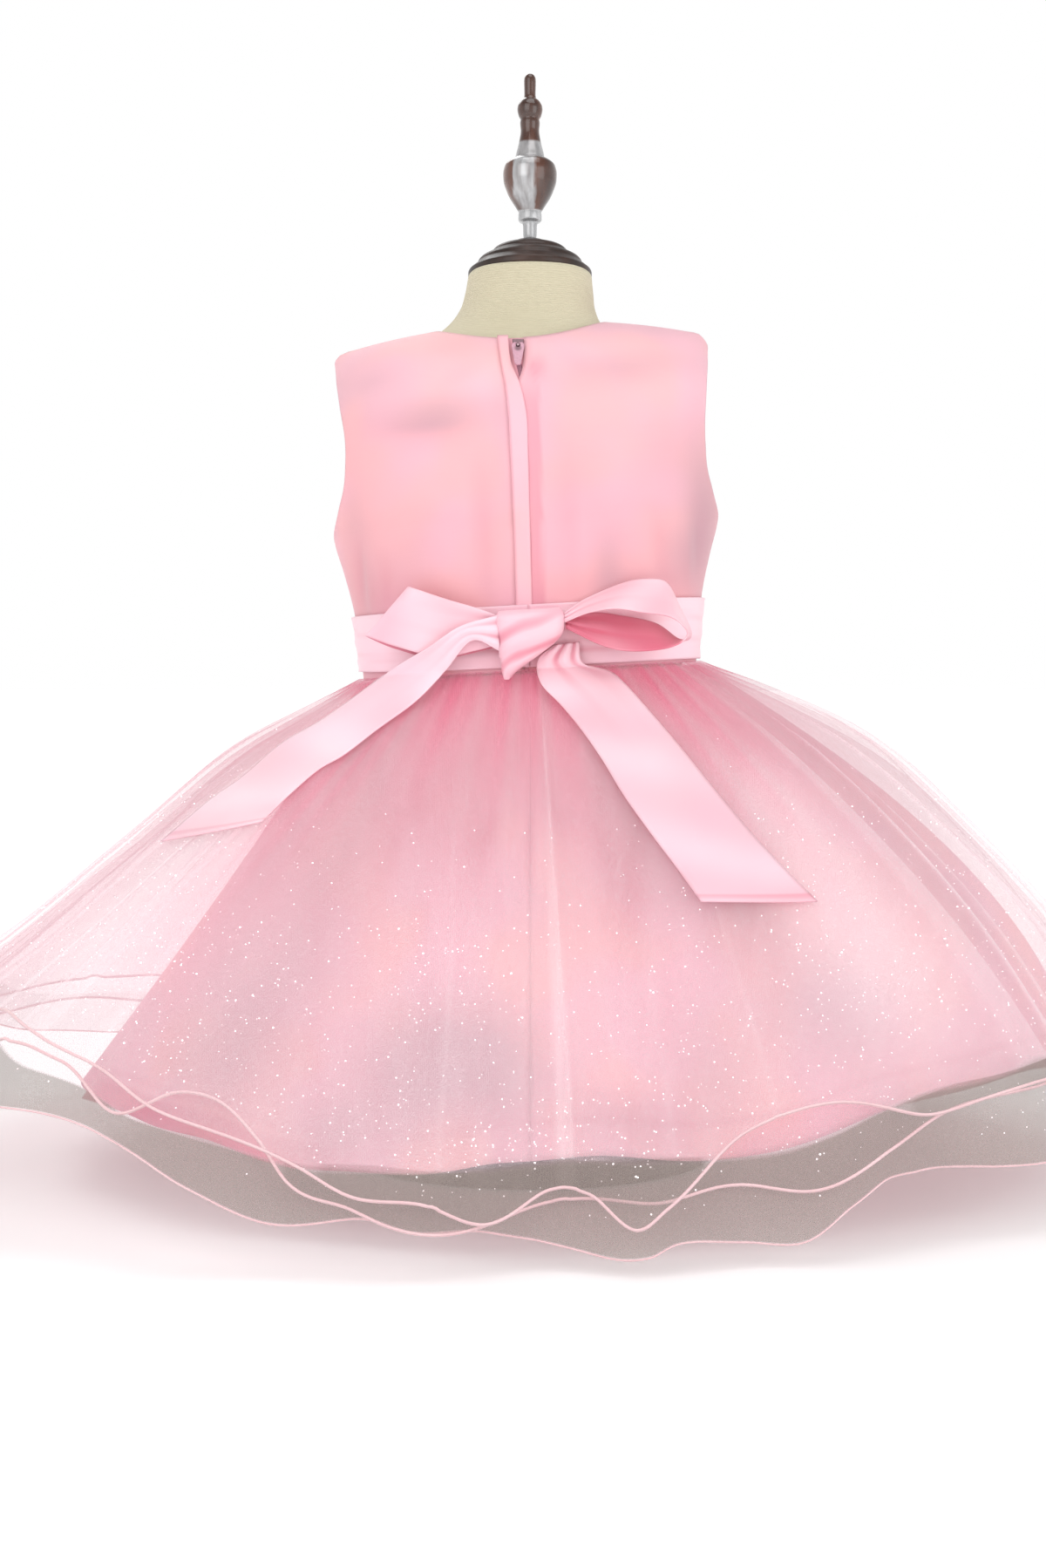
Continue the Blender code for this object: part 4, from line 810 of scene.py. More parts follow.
# Painted shade: rose and grey patches on the skirt, each with its middle, spread, and how much deep rose and
# grey shade it paints.
PAINTED_SHADE_TONES = table("azimuth down wide high rose shade", [
    (-13, 0.79, 9.0, 0.11, 0.25, 1.10), (-3, 0.84, 5.0, 0.10, 0.30, 0.75), (-22, 0.93, 9.0, 0.08, 0.05, 0.55),
    (-34, 0.45, 9.0, 0.25, 0.32, 0.35), (-42, 0.82, 12.0, 0.20, 0.05, 0.70),
    (-62, 0.60, 10.0, 0.30, 0.25, 0.40), (-9, 0.24, 3.0, 0.18, 0.75, 0.0), (-24, 0.20, 5.0, 0.16, 0.45, 0.0),
    (6, 0.22, 3.0, 0.16, 0.60, 0.0), (15, 0.36, 5.0, 0.22, 0.75, 0.0), (31, 0.46, 6.0, 0.22, 0.58, 0.0),
    (40, 0.30, 9.0, 0.20, 0.40, 0.05),
    (38, 0.76, 10.0, 0.13, 0.30, 0.75), (22, 0.86, 5.0, 0.10, 0.10, 0.40), (62, 0.60, 9.0, 0.25, 0.35, 0.40),
    (12, 0.93, 7.0, 0.05, 0.35, 0.35), (-78, 0.60, 9.0, 0.30, 0.15, 0.30),
    (100, 0.55, 9.0, 0.25, 0.20, 0.20), (132, 0.75, 9.0, 0.20, 0.10, 0.35), (158, 0.45, 9.0, 0.20, 0.30, 0.0),
    (186, 0.80, 8.0, 0.14, 0.0, 0.45), (207, 0.50, 9.0, 0.20, 0.25, 0.10), (236, 0.75, 9.0, 0.20, 0.10, 0.30),
])


def painted_tones(azimuth, down):
    """Rose and shade values, both painted shade: a rose bloom below the waist, and oval tones from a table.
    """
    # Painted shade: a deep rose that fades below the waist, and a little more towards the hem.
    rose = 1.30 * np.exp(-(down / 0.36) ** 1.6) + 0.14 * smooth((down - 0.62) / 0.3)
    shade = np.zeros(np.shape(azimuth))
    for middle, height, wide, high, more_rose, more_shade in zip(*PAINTED_SHADE_TONES.values()):
        shade_tone = bell(turn_from(azimuth, middle) / wide, (down - height) / high)
        rose, shade = rose + more_rose * shade_tone, shade + more_shade * shade_tone
    return rose, shade


def flared_cloth(azimuth, share, length, slope=0.73):
    """Place on the flat cut of a flared skirt, a ring sector: a degree round the body is a slope's
    part of a degree on the cut, and the radius grows by the length from the waist to the hem."""
    radius = length * (0.33 + share)
    angle = np.radians(slope * azimuth)
    return np.stack(np.broadcast_arrays(radius * np.sin(angle), -radius * np.cos(angle)), -1)


def satin_cloth(azimuth, down):
    """Skirt surface moved out by fine gathers, which fade as they go down, and by bell-shaped soft
    folds, which set in lower; with its fold and shade values, and a stitch line above the hem."""
    angle = np.radians(azimuth)
    start = np.minimum(1, down / 0.03)
    fine = 0.0011 * np.sin(46 * angle + 2.0 * np.sin(7 * angle)) * start * np.exp(-down / 0.13)
    finer = 0.0006 * np.sin(91 * angle + 1.5 * np.sin(11 * angle)) * start * np.exp(-down / 0.07)
    lift = fine + finer
    for centre, width, depth, first, last in zip(*SOFT_FOLDS.values()):
        reach = smooth((down - first) / (last - first) * 1.6)
        lift = lift + depth * bell(turn_from(azimuth, centre) / width) * reach
    rose, shade = painted_tones(azimuth, down)
    # Painted shade: deep rose in the troughs of the gathers and the soft folds.
    rose = rose + np.clip(-(fine + finer) / 0.0012, 0, 1) * 0.45 + np.clip(-lift / 0.008, 0, 1) * 0.12
    stitches = bell((down - (1 - HEM_TURN / SATIN_LENGTH)) / 0.004)
    grid = moved_out(satin_surface, down, azimuth, np.minimum(lift, SATIN_STACK - 0.0003) - 0.0004 * stitches)
    # Painted shade: a deep rose band at the turned hem on the left, and along the stitch line, where the
    # cloth dips.
    left_hem_shade = smooth((down - 0.95) / 0.01) * smooth((-azimuth - 18) / 8) * smooth((70 + azimuth) / 8)
    return grid, np.clip(rose + 0.35 * stitches + 0.30 * left_hem_shade, 0, 1), np.clip(shade, 0, 0.9)


skirt_areas = {}
for name, (first, last, shift) in PANELS.items():
    azimuth, down = np.broadcast_arrays(np.linspace(first, last, 3 * (last - first) // 2 + 1)[None, :],
                                        (np.linspace(0, 1, 92) ** 1.25)[:, None])
    grid, fold, shade = satin_cloth(azimuth, down)
    cloth = flared_cloth(azimuth, down, SATIN_LENGTH)
    if name != "front":
        at_back = bell(azimuth / 0.7)
        closed = smooth((down - 0.30) / 0.10)
        grid[..., 1] += 0.0012 * at_back * smooth(down / 0.05) * (1 - closed)
        grid[..., 0] -= shift[0] * (azimuth == 0) * closed
        # Painted shade along the centre back seam, down to where the placket ends.
        fold = np.clip(fold + 0.5 * at_back * (1 - smooth((down - 0.35) / 0.2)), 0, 1)
    grid[..., :2] += shift
    skirt_areas[name] = area_of(grid)
    panel = cloth_piece(f"satin_skirt_{name}", grid, skirt_satin, WALL, order=np.s_[::-1],
                        fold=fold, shade=shade, cloth=cloth)
    0.86 if name == "front" else 0.46
print("satin skirt areas:", {key: round(value, 4) for key, value in skirt_areas.items()})

# %% [markdown]
# ## Net
# Net is knotted into tiny holes, too small to cut, so the finish makes it partly see-through: a
# little more solid on the threads than between them, and it glows a little in its own colour,
# painted light for the light that passes through it.  Where a fold lies double, the net is more
# solid and painted whiter: each fold is a raised strip here, with a value that makes the finish
# more solid.  A single sheet without a wall counts each thickness once.  Below the satin the net
# carries a grey band of painted shade, for the dark inside of the skirt: one row of each grid lies
# on that band's edge, so that it is clean.


# %% Net finishes
def net_finish(name, colour, thread, hole, solid):
    """Net: alpha between the hole's and the thread's value, in cells about a millimetre across.
    The shade value marks the grey lower band, painted shade; the fold value cloth that lies double,
    more solid and painted whiter; and the rose value the gathers at the waist, where many thicknesses
    lie together, more solid and painted a deep rose shade.  The net also glows in its own colour,
    painted light for the light that passes through it."""
    made = Finish(name, Roughness=0.75, Specular_IOR_Level=0.3, Emission_Strength=0.42)
    cloth = made.cloth()
    cells = made.node("ShaderNodeTexVoronoi", {"feature": "DISTANCE_TO_EDGE"},
                      {"Vector": cloth, "Scale": 850.0, "Randomness": 0.5})
    knots = made.step(cells, 0.05, 0.26, 1.0, 0.0)
    slow = made.noise(made.here(), 14.0, 2.0)
    streaks = made.noise(cloth, 26.0, 2.0, stretch=(3.0, 0.5, 1.0))
    grey, double, rose = made.stored("shade"), made.stored("fold"), made.stored("rose")
    tint = made.mix(rose, made.mix(double, colour, (0.86, 0.775, 0.80)), (0.62, 0.20, 0.28))
    # Painted shade: the grey of the lower band, for the dark inside of the skirt seen through the net.
    band = made.mix(slow, (0.220, 0.186, 0.171), (0.295, 0.243, 0.227))
    tint = made.mix(grey, tint, band)
    # Painted light: the net glows in its own colour, for the light that passes through it.
    made.uses(Base_Color=tint, Emission_Color=tint,
              Alpha=hole + (thread - hole) * knots + 0.05 * slow + 0.08 * streaks - 0.05
              + solid * grey + 0.40 * double + 0.28 * rose)
    return made.material


outer_net = net_finish("pale pink net", (0.70, 0.60, 0.625), 0.20, 0.035, 0.11)
inner_net = net_finish("grey pink net", (0.67, 0.515, 0.555), 0.17, 0.03, 0.52)
piping = Finish("pale pink hem piping", Roughness=0.45, Sheen_Weight=0.2)
twist = piping.threads(piping.cloth(), 0.0016, "DIAGONAL")
piping.uses(Base_Color=piping.mix(piping.noise(piping.here(), 40.0), (0.80, 0.50, 0.53), (0.92, 0.66, 0.68)))
piping.bump(twist, 0.0002)
print("net finishes:", outer_net.name, "/", inner_net.name, "/", piping.material.name)

# %% Laid folds, puffs and ripples of the nets
LAID = table("net top foot width start strength height", [
    (0, 2.6, 3.4, 2.6, 0.00, 0.36, 0.0022), (1, 0.8, 3.0, 1.5, 0.00, 0.25, 0.0014),
    (0, -25, -7.9, 1.0, 0.03, 0.26, 0.0012), (0, -52, -40, 1.6, 0.08, 0.34, 0.0004),
    (0, -44, -46, 2.6, 0.20, 0.40, 0.0006), (0, -60, -54, 2.2, 0.12, 0.62, 0.0006),
    (0, -66, -61, 3.6, 0.10, 0.50, 0.0006), (0, -74, -69, 1.8, 0.15, 0.80, 0.0008),
    (0, -80, -77, 3.0, 0.10, 0.62, 0.0012), (0, -87, -85, 2.2, 0.10, 0.75, 0.0024),
    (1, -50, -50, 1.3, 0.30, 0.60, 0.0014), (1, -70, -65, 1.4, 0.25, 0.70, 0.0014),
    (1, -80, -73, 1.6, 0.35, 0.75, 0.0014), (2, -58, -58, 2.2, 0.20, 0.50, 0.0016),
    (2, -72, -80, 2.4, 0.20, 0.50, 0.0016), (0, 30, 24, 1.1, 0.35, 0.16, 0.0010),
    (0, 53, 51, 6.5, 0.05, 0.38, 0.0006), (0, 61, 59, 1.5, 0.05, 0.62, 0.0020),
    (0, 70, 68, 2.2, 0.05, 0.70, 0.0026), (0, 80, 77, 3.0, 0.08, 0.50, 0.0028),
    (0, 86, 85, 1.6, 0.15, 0.70, 0.0022), (1, 66, 63, 1.3, 0.20, 0.55, 0.0014),
    (1, 74, 72, 1.5, 0.30, 0.60, 0.0014), (1, 16, 14, 1.1, 0.45, 0.14, 0.0010),
    (2, 76, 74, 2.0, 0.20, 0.50, 0.0016), (0, 97, 99, 2.2, 0.10, 0.50, 0.0022),
    (0, 110, 114, 1.6, 0.20, 0.34, 0.0018), (0, 127, 129, 2.4, 0.05, 0.38, 0.0024),
    (1, 140, 143, 1.4, 0.20, 0.30, 0.0014), (0, 152, 156, 1.6, 0.10, 0.32, 0.0018),
    (0, 168, 171, 2.4, 0.05, 0.34, 0.0024), (1, 180, 184, 1.4, 0.25, 0.26, 0.0014),
    (0, 193, 195, 1.8, 0.10, 0.32, 0.0020), (0, 211, 213, 2.6, 0.05, 0.36, 0.0024),
    (1, 222, 225, 1.4, 0.20, 0.30, 0.0014), (0, 236, 238, 1.8, 0.10, 0.36, 0.0020),
    (0, 251, 254, 2.4, 0.10, 0.50, 0.0024),
])
PUFFS = table("azimuth share wide high out", [
    (-98, 0.27, 19, 0.18, 0.0125), (-90, 0.80, 28, 0.20, -0.0090),
    (92, 0.24, 27, 0.17, 0.0130), (92, 0.82, 30, 0.18, -0.0070),
])


def laid_double(azimuth, share, layer):
    """Strength and lift of the folds that are laid over: strips between two firm edges, which
    widen on the way down and run from one azimuth at the waist to another at the hem."""
    strength, lift = np.zeros(np.shape(azimuth)), np.zeros(np.shape(azimuth))
    for net, top, foot, width, start, amount, height in zip(*LAID.values()):
        if net != layer:
            continue
        half = width / 2 * (0.30 + 0.70 * share)
        t = turn_from(azimuth, foot + (top - foot) * np.exp(-share / 0.25)) / half
        inside = smooth((t + 1) / 0.9) * smooth((1 - t) * half / 0.35) * smooth((share - start) / 0.2)
        strength += amount * inside * (0.75 + 0.25 * smooth(t))
        lift += height * inside
    return strength, lift


def net_cloth(azimuth, share, hem, layer):
    """Net moved out by its laid folds, by soft puffs and by low ripples that grow downwards."""
    lift = laid_double(azimuth, share, layer)[1]
    angle = np.radians(azimuth)
    for centre, height, wide, high, out in zip(*PUFFS.values()):
        puff = bell(turn_from(azimuth, centre) / wide, (share - height) / high)
        lift = lift + out * (1 - 0.12 * layer) * puff * np.minimum(1, share / 0.06)
    lift += 0.0014 * share * np.sin(17 * angle + 1.7 * layer + 2 * np.sin(5 * angle) + 2 * share)
    lift += 0.0006 * share * np.sin(31 * angle + 0.9 * layer - 3 * share)
    lift += 0.0005 * np.sin(118 * angle + layer) * np.exp(-share / 0.07) * np.minimum(1, share / 0.01)
    down = net_down(azimuth, share, hem)
    inward = layer * (NET_STACK + NET_SPREAD * down)
    return moved_out(net_surface, down, azimuth, lift - inward)


print("laid folds and puffs:", len(LAID["net"]), len(PUFFS["out"]))

# %% A net's rows and its values
NET_COLUMNS = 561
ROWS_ABOVE, ROWS_BELOW = 34, 15                       # of the edge of the grey band
BAND_STEP = 0.0022                                    # from one net's band to the next one's
WING_PAINTED_SHADE = (0.13, 0.16, 0.20)                        # of the outer, the middle and the inner net


def net_rows(azimuth, hem, layer):
    """Shares of the way down for a net's rows, with one row on the edge of its grey lower band,
    and the band's value: 1 below that row, less at the front, 0 where the hem ends above it."""
    top = WAIST + NET_TOP
    band = by_azimuth(PAINTED_SHADE_BAND, "height", azimuth) - BAND_STEP * (2 - layer)
    edge = (top - band) / (top - by_azimuth(hem, "height", azimuth))
    held = np.minimum(edge, 0.98)
    above = np.linspace(0, 1, ROWS_ABOVE)[:, None] ** 1.05
    below = np.linspace(0, 1, ROWS_BELOW)[1:, None]
    share = np.concatenate((held * above, held + (1 - held) * below))
    at_front = smooth((np.cos(np.radians(azimuth - 180)) - 0.05) / 0.2)
    value = np.concatenate((0 * above, 1 + 0 * below)) * smooth((0.99 - edge) / 0.02)
    return share, value * (1 - 0.6 * at_front)


def net_marks(azimuth, share, layer, band):
    """Fold, shade and rose values.  Fold: laid strips, and cloth that overlaps half way to each
    side, more solid and painted whiter.  Shade: painted shade, the grey lower band, and a light grey
    on both wings.  Rose: painted deep rose shade in the gathers below the waist, which run out in
    tongues, and on the flanks, where the left one is rosier."""
    double = laid_double(azimuth, share, layer)[0]
    angle = np.radians(azimuth)
    wing = smooth((np.abs(np.sin(angle)) - 0.66) / 0.30)
    gathers = np.sin(58 * angle + 2 * np.sin(9 * angle) + layer) * np.sin(23 * angle + 1.3 * layer)
    gathers = 0.5 + 0.5 * gathers
    # Painted shade: a deep rose in the gathers below the waist, where many thicknesses lie together, and on
    # the flanks, deeper on the left.
    tongues = np.exp(-(share / (0.19 + 0.13 * gathers)) ** 1.4) * (0.55 + 0.45 * gathers)
    rose = 1.15 * tongues * (1 - 0.55 * wing * smooth(share / 0.08))
    beside = turn_from(azimuth, 0)
    from_side = np.abs(90 - np.abs(beside))
    overlap = bell((from_side - 49) / 9) * smooth((share - 0.12) / 0.2) * (1 - smooth((share - 0.7) / 0.25))
    flank_shade = bell(from_side / 34) * smooth(share / 0.15)
    left = beside < 0
    double = double + np.where(left, 0.08, 0.32) * overlap * (1 - double)
    rose = rose + np.where(left, 0.36, 0.04) * overlap + np.where(left, 0.34, 0.10) * flank_shade
    # Painted shade: a light grey on both wings of the nets.
    wing_painted_shade = WING_PAINTED_SHADE[layer] * wing * (1 - smooth((share - 0.25) / 0.3) * 0.5)
    return double, np.maximum(band, wing_painted_shade), rose


print("rows of each net:", ROWS_ABOVE + ROWS_BELOW - 1)

# %% Nets and their corded hems
net_areas = {}
for layer, (name, hem, finish, radius) in enumerate((
        ("outer", OUTER_HEM, outer_net, 0.0009),
        ("middle", MIDDLE_HEM, outer_net, 0.0009),
        ("inner", INNER_HEM, inner_net, 0.0006))):
    for half, first, last, shift in (("back", -90, 90, -SEAM / 2), ("front", 90, 270, SEAM / 2)):
        azimuth = np.linspace(first, last, NET_COLUMNS)[None, :]
        share, band = net_rows(azimuth, hem, layer)
        azimuth = azimuth + 0 * share
        grid = net_cloth(azimuth, share, hem, layer)
        grid[..., 1] += shift
        net_areas[f"{name}_{half}"] = area_of(grid)
        fold, shade, rose = net_marks(azimuth, share, layer, band)
        cloth = flared_cloth(azimuth, share, NET_LENGTH)
        cloth_piece(f"net_{name}_{half}", grid, finish, slot="pink_net", order=np.s_[::-1],
                                  fold=fold, shade=shade, rose=rose, cloth=cloth)
    azimuth = np.linspace(-90, 270, 1081)[:-1]
    path = net_cloth(azimuth, np.full(azimuth.shape, 1.003), hem, layer)     # just past the edge
    cord = place(closed_cord(f"net_{name}_hem_cord", path, radius, piping.material),
                 "dress", "hem_cord", f"net_{name}_hem")
print("net areas:", {key: round(value, 3) for key, value in net_areas.items()})

# %% [markdown]
# ## Glitter
# Glitter net carries tiny bright flakes glued on in loose clusters.  Each flake is a flat
# six-sided chip, turned a little away from the cloth so that some catch the light.  All the
# flakes of one net are one mesh, worked out together.


# %% Glitter
CLUSTERS, CLUSTERED, CLUSTER_SPREAD = 60, 0.4, (7.0, 0.09)      # spread in degrees and in shares
FLAKE_LEAST, FLAKE_MOST, FLAKE_LIFT = 0.00025, 0.00062, 0.0007


def flakes(name, count, hem, layer, seed, low):
    """Six-sided chips at seeded places on a net, denser towards its hem: two in five gather round
    cluster centres.  Each is six points of a circle, in a plane that leans away from the net."""
    rng = np.random.default_rng(seed)
    centres = rng.uniform((-90.0, low), (270.0, 1.0), (CLUSTERS, 2))
    chosen = centres[rng.integers(0, CLUSTERS, count)]
    loose = rng.uniform((-90.0, low), (270.0, 1.0), (count, 2))
    near = chosen + rng.normal(0, CLUSTER_SPREAD, (count, 2))
    spot = np.where(rng.random(count)[:, None] < CLUSTERED, near, loose)
    azimuth, way = spot[:, 0], np.abs(1 - np.abs(1 - np.abs(spot[:, 1])))
    share = 0.05 + 0.90 * np.sqrt(way)
    here = net_cloth(azimuth, share, hem, layer)
    right = unit(net_cloth(azimuth + 0.05, share, hem, layer) - here)
    down = unit(net_cloth(azimuth, share + 0.002, hem, layer) - here)
    outward = unit(np.cross(down, right))
    outward *= np.sign(np.sum(outward * (here - (0, 0, WAIST)), axis=-1, keepdims=True))
    tilt = unit(outward + 0.35 * rng.normal(size=(count, 3)))
    side = unit(np.cross(tilt, down))
    other = np.cross(tilt, side)
    turn = np.arange(6)[None, :, None] * np.pi / 3 + rng.uniform(0, np.pi, count)[:, None, None]
    radius = rng.uniform(FLAKE_LEAST, FLAKE_MOST, count)[:, None, None]
    ring = radius * (np.cos(turn) * side[:, None] + np.sin(turn) * other[:, None])
    corner = (here + outward * FLAKE_LIFT)[:, None] + ring
    mesh = bpy.data.meshes.new(name)
    mesh.from_pydata(corner.reshape(-1, 3), [], np.arange(count * 6).reshape(-1, 6))
    mesh.materials.append(glitter.material)
    piece = bpy.data.objects.new(name, mesh)
    bpy.context.scene.collection.objects.link(piece)
    return place(piece, "dress", "pink_net")


# Painted glint: the flakes glow a little, pinkish or white.
glitter = Finish("silver white glitter", Roughness=0.2, Metallic=0.3, Emission_Strength=0.45)
spark = glitter.noise(glitter.here(), 400.0, 1.0)
glitter.uses(Base_Color=glitter.mix(spark, (1.0, 0.86, 0.9), (1.0, 1.0, 1.0)),
             Emission_Color=glitter.mix(spark, (1.0, 0.75, 0.8), (1.0, 1.0, 1.0)))
for layer, (name, hem, count, low) in enumerate((
        ("outer", OUTER_HEM, 3000, 0.1), ("middle", MIDDLE_HEM, 1300, 0.2), ("inner", INNER_HEM, 1100, 0.4))):
    piece = flakes(f"glitter_{name}", count, hem, layer, 11 + layer, low)
    print("flakes on the", name, "net:", len(piece.data.polygons))

# %% [markdown]
# ## Bow
# The bow is tied from the two ends of the sash.  Each loop and tail is a ribbon between two edge
# lines, one row of the table for each bend.  Close to the knot the ribbon is squeezed, so it
# starts in small folds that open out.  The loops hang free, and the tails lie on the outer net.

# %% Bow tables
LEFT_LOOP = table("upper_x upper_z upper_out lower_x lower_z lower_out", [
    (-0.0200, 0.0365, 0.0825, -0.0198, 0.0180, 0.0825),
    (-0.0330, 0.0420, 0.0830, -0.0340, 0.0150, 0.0830),
    (-0.0500, 0.0480, 0.0832, -0.0560, 0.0125, 0.0830),
    (-0.0680, 0.0550, 0.0825, -0.0830, 0.0205, 0.0825),
    (-0.0738, 0.0572, 0.0795, -0.1003, 0.0275, 0.0800),
    (-0.0730, 0.0560, 0.0765, -0.0985, 0.0262, 0.0770),
    (-0.0660, 0.0530, 0.0758, -0.0820, 0.0185, 0.0758),
    (-0.0480, 0.0455, 0.0758, -0.0550, 0.0115, 0.0758),
    (-0.0185, 0.0350, 0.0775, -0.0180, 0.0170, 0.0775),
])
RIGHT_LOOP = table("upper_x upper_z upper_out lower_x lower_z lower_out", [
    (0.0219, 0.0352, 0.0820, 0.0219, 0.0297, 0.0870),
    (0.0370, 0.0440, 0.0775, 0.0365, 0.0345, 0.0945),
    (0.0610, 0.0525, 0.0765, 0.0534, 0.0361, 0.0985),
    (0.0760, 0.0538, 0.0755, 0.0700, 0.0328, 0.0985),
    (0.0870, 0.0506, 0.0750, 0.0860, 0.0296, 0.0970),
    (0.0945, 0.0350, 0.0750, 0.0945, 0.0240, 0.0950),
    (0.1012, 0.0180, 0.0765, 0.0978, 0.0180, 0.0925),
    (0.0940, 0.0150, 0.0750, 0.0925, 0.0125, 0.0920),
    (0.0790, 0.0260, 0.0735, 0.0800, 0.0095, 0.0930),
    (0.0570, 0.0320, 0.0730, 0.0600, 0.0098, 0.0930),
    (0.0410, 0.0345, 0.0740, 0.0440, 0.0145, 0.0915),
    (0.0230, 0.0330, 0.0790, 0.0230, 0.0262, 0.0855),
])
LEFT_TAIL = table("upper_x upper_z upper_lift lower_x lower_z lower_lift", [
    (-0.0190, 0.0362, 0.0155, -0.0182, 0.0140, 0.0155),
    (-0.0429, 0.0304, 0.0205, -0.0354, 0.0213, 0.0190),
    (-0.0630, 0.0185, 0.0245, -0.0522, 0.0039, 0.0160),
    (-0.0845, 0.0076, 0.0165, -0.0707, -0.0139, 0.0090),
    (-0.1092, -0.0087, 0.0080, -0.0943, -0.0298, 0.0055),
    (-0.1332, -0.0239, 0.0050, -0.1136, -0.0435, 0.0045),
    (-0.1576, -0.0366, 0.0043, -0.1293, -0.0518, 0.0043),
    (-0.1795, -0.0549, 0.0043, -0.1448, -0.0644, 0.0043),
    (-0.2005, -0.0690, 0.0043, -0.1527, -0.0718, 0.0043),
    (-0.2260, -0.0900, 0.0043, -0.1606, -0.0793, 0.0043),
])
RIGHT_TAIL = table("upper_x upper_z upper_lift lower_x lower_z lower_lift", [
    (0.0310, 0.0170, 0.0045, 0.0157, 0.0158, 0.0045),
    (0.0330, 0.0038, 0.0065, 0.0050, 0.0070, 0.0075),
    (0.0493, -0.0022, 0.0065, 0.0066, -0.0073, 0.0075),
    (0.0592, -0.0115, 0.0065, 0.0187, -0.0215, 0.0070),
    (0.0775, -0.0348, 0.0060, 0.0310, -0.0378, 0.0065),
    (0.0910, -0.0529, 0.0052, 0.0421, -0.0554, 0.0055),
    (0.1066, -0.0750, 0.0043, 0.0533, -0.0756, 0.0045),
    (0.1266, -0.1017, 0.0040, 0.0683, -0.0984, 0.0043),
    (0.1418, -0.1199, 0.0040, 0.0823, -0.1187, 0.0043),
    (0.1600, -0.1397, 0.0040, 0.0933, -0.1353, 0.0043),
])
KNOT = table("height left right near far", [
    (-0.0040, -0.0160, -0.0130, 0.0840, 0.0872), (0.0010, -0.0178, -0.0075, 0.0790, 0.0900),
    (0.0100, -0.0182, 0.0050, 0.0745, 0.0940), (0.0200, -0.0190, 0.0195, 0.0740, 0.0965),
    (0.0300, -0.0196, 0.0215, 0.0742, 0.0960), (0.0370, -0.0198, 0.0212, 0.0748, 0.0925),
    (0.0390, -0.0185, 0.0195, 0.0780, 0.0885),
])
print("rows of the loops and tails:", [len(rows["upper_x"]) for rows in (
    LEFT_LOOP, RIGHT_LOOP, LEFT_TAIL, RIGHT_TAIL)])

# %% Ribbons
RIBBON_STEPS, RIBBON_ROWS, RIBBON_WALL = 16, 25, 0.0010       # steps from bend to bend


def on_net(x, z, lift):
    """Point at x and garment height z, moved out from the net or the sash by the lift."""
    azimuth = np.zeros(np.shape(x))
    world_x, world_z = x - LEAN * z, WAIST + z + TILT * x
    for _ in range(60):
        start = net_surface(np.zeros(np.shape(x)), azimuth)[..., 2]
        height = by_azimuth(NET, "height", azimuth)
        spot = net_surface(np.maximum((start - world_z) / (start - height), 0), azimuth)
        angle = np.radians(azimuth)
        missing = world_x - spot[..., 0] - lift * np.sin(angle)
        reach = np.hypot(spot[..., 0], spot[..., 1]) + lift
        azimuth = np.clip(azimuth + 0.6 * np.degrees(missing / reach), -89, 89)
    angle = np.radians(azimuth)
    return points(spot[..., 0] + lift * np.sin(angle), spot[..., 1] - lift * np.cos(angle), world_z)


def ribbon(name, rows, roots, lies_on_net=False, inside=None, shade_tone=0.19):
    """Ribbon between two edge lines.  It is moved out by lengthwise folds that fade with the
    distance from its roots, and by a low ripple that sets in past the first of them."""
    rows = dict(rows, step=np.arange(len(rows["upper_x"]), dtype=float))
    last = len(rows["step"]) - 1
    step = np.linspace(0, last, last * RIBBON_STEPS + 1)
    third = "lift" if lies_on_net else "out"
    upper, lower = (np.stack([curve(rows, "step", f"{edge}_{part}", step) for part in ("x", "z", third)])
                    for edge in ("upper", "lower"))
    share = np.linspace(0, 1, RIBBON_ROWS)[:, None]
    x, z, away = upper[:, None] + (lower - upper)[:, None] * share
    squeeze = sum(np.exp(-np.abs(step - root) / 0.9) for root in roots)[None, :]
    folds = np.sin(2 * np.pi * (2.4 * share + 0.3)) * np.sin(np.pi * share) ** 0.4
    calm = 1 - np.exp(-step[None, :] / 1.5)
    ripple = np.sin(2 * np.pi * (0.35 * share + 0.41 * step[None, :]))
    ripple = ripple + 0.6 * np.sin(2 * np.pi * (0.27 * step[None, :] - 0.5 * share + 0.2))
    away = away + (0.0011 * folds * squeeze + (0.0010 if lies_on_net else 0.0003) * ripple * calm)
    grid = on_net(x, z, away) if lies_on_net else hang(x, -away, z)
    # Painted shade in the fold value: deep pink in the folds' and the ripples' troughs, and an even shade
    # tone over the whole ribbon.
    fold = np.clip(-folds * squeeze, 0, 1) * 0.6 + 0.08 * (1 - ripple) * calm + shade_tone
    if lies_on_net:
        # Painted shade: a darker line across a tail near its end, at the hem's stitching.
        fold = fold + 0.5 * bell((step[None, :] - last + 0.16) / 0.035)
    if inside is not None:
        # Painted shade inside a loop, where it is given.
        fold = fold + inside(step)[None, :]
    piece = cloth_piece(name, grid, ribbon_satin, RIBBON_WALL, offset=0.0, fold=np.clip(fold, 0, 1))
    return piece, area_of(grid)


def between(first, last, value):
    """A value over the middle stretch of a ribbon, with soft ends."""
    return lambda step: value * smooth((step - first) / 0.5) * smooth((last - step) / 0.5)


bow_areas = {}
# The loops' inner stretches get a deeper painted shade.
loop_left, bow_areas["loop_left"] = ribbon("bow_loop_left", LEFT_LOOP, (0, 8), inside=between(4.6, 8.5, 0.55))
loop_right, bow_areas["loop_right"] = ribbon("bow_loop_right", RIGHT_LOOP, (0, 11),
                                             inside=between(6.5, 11.5, 0.62))
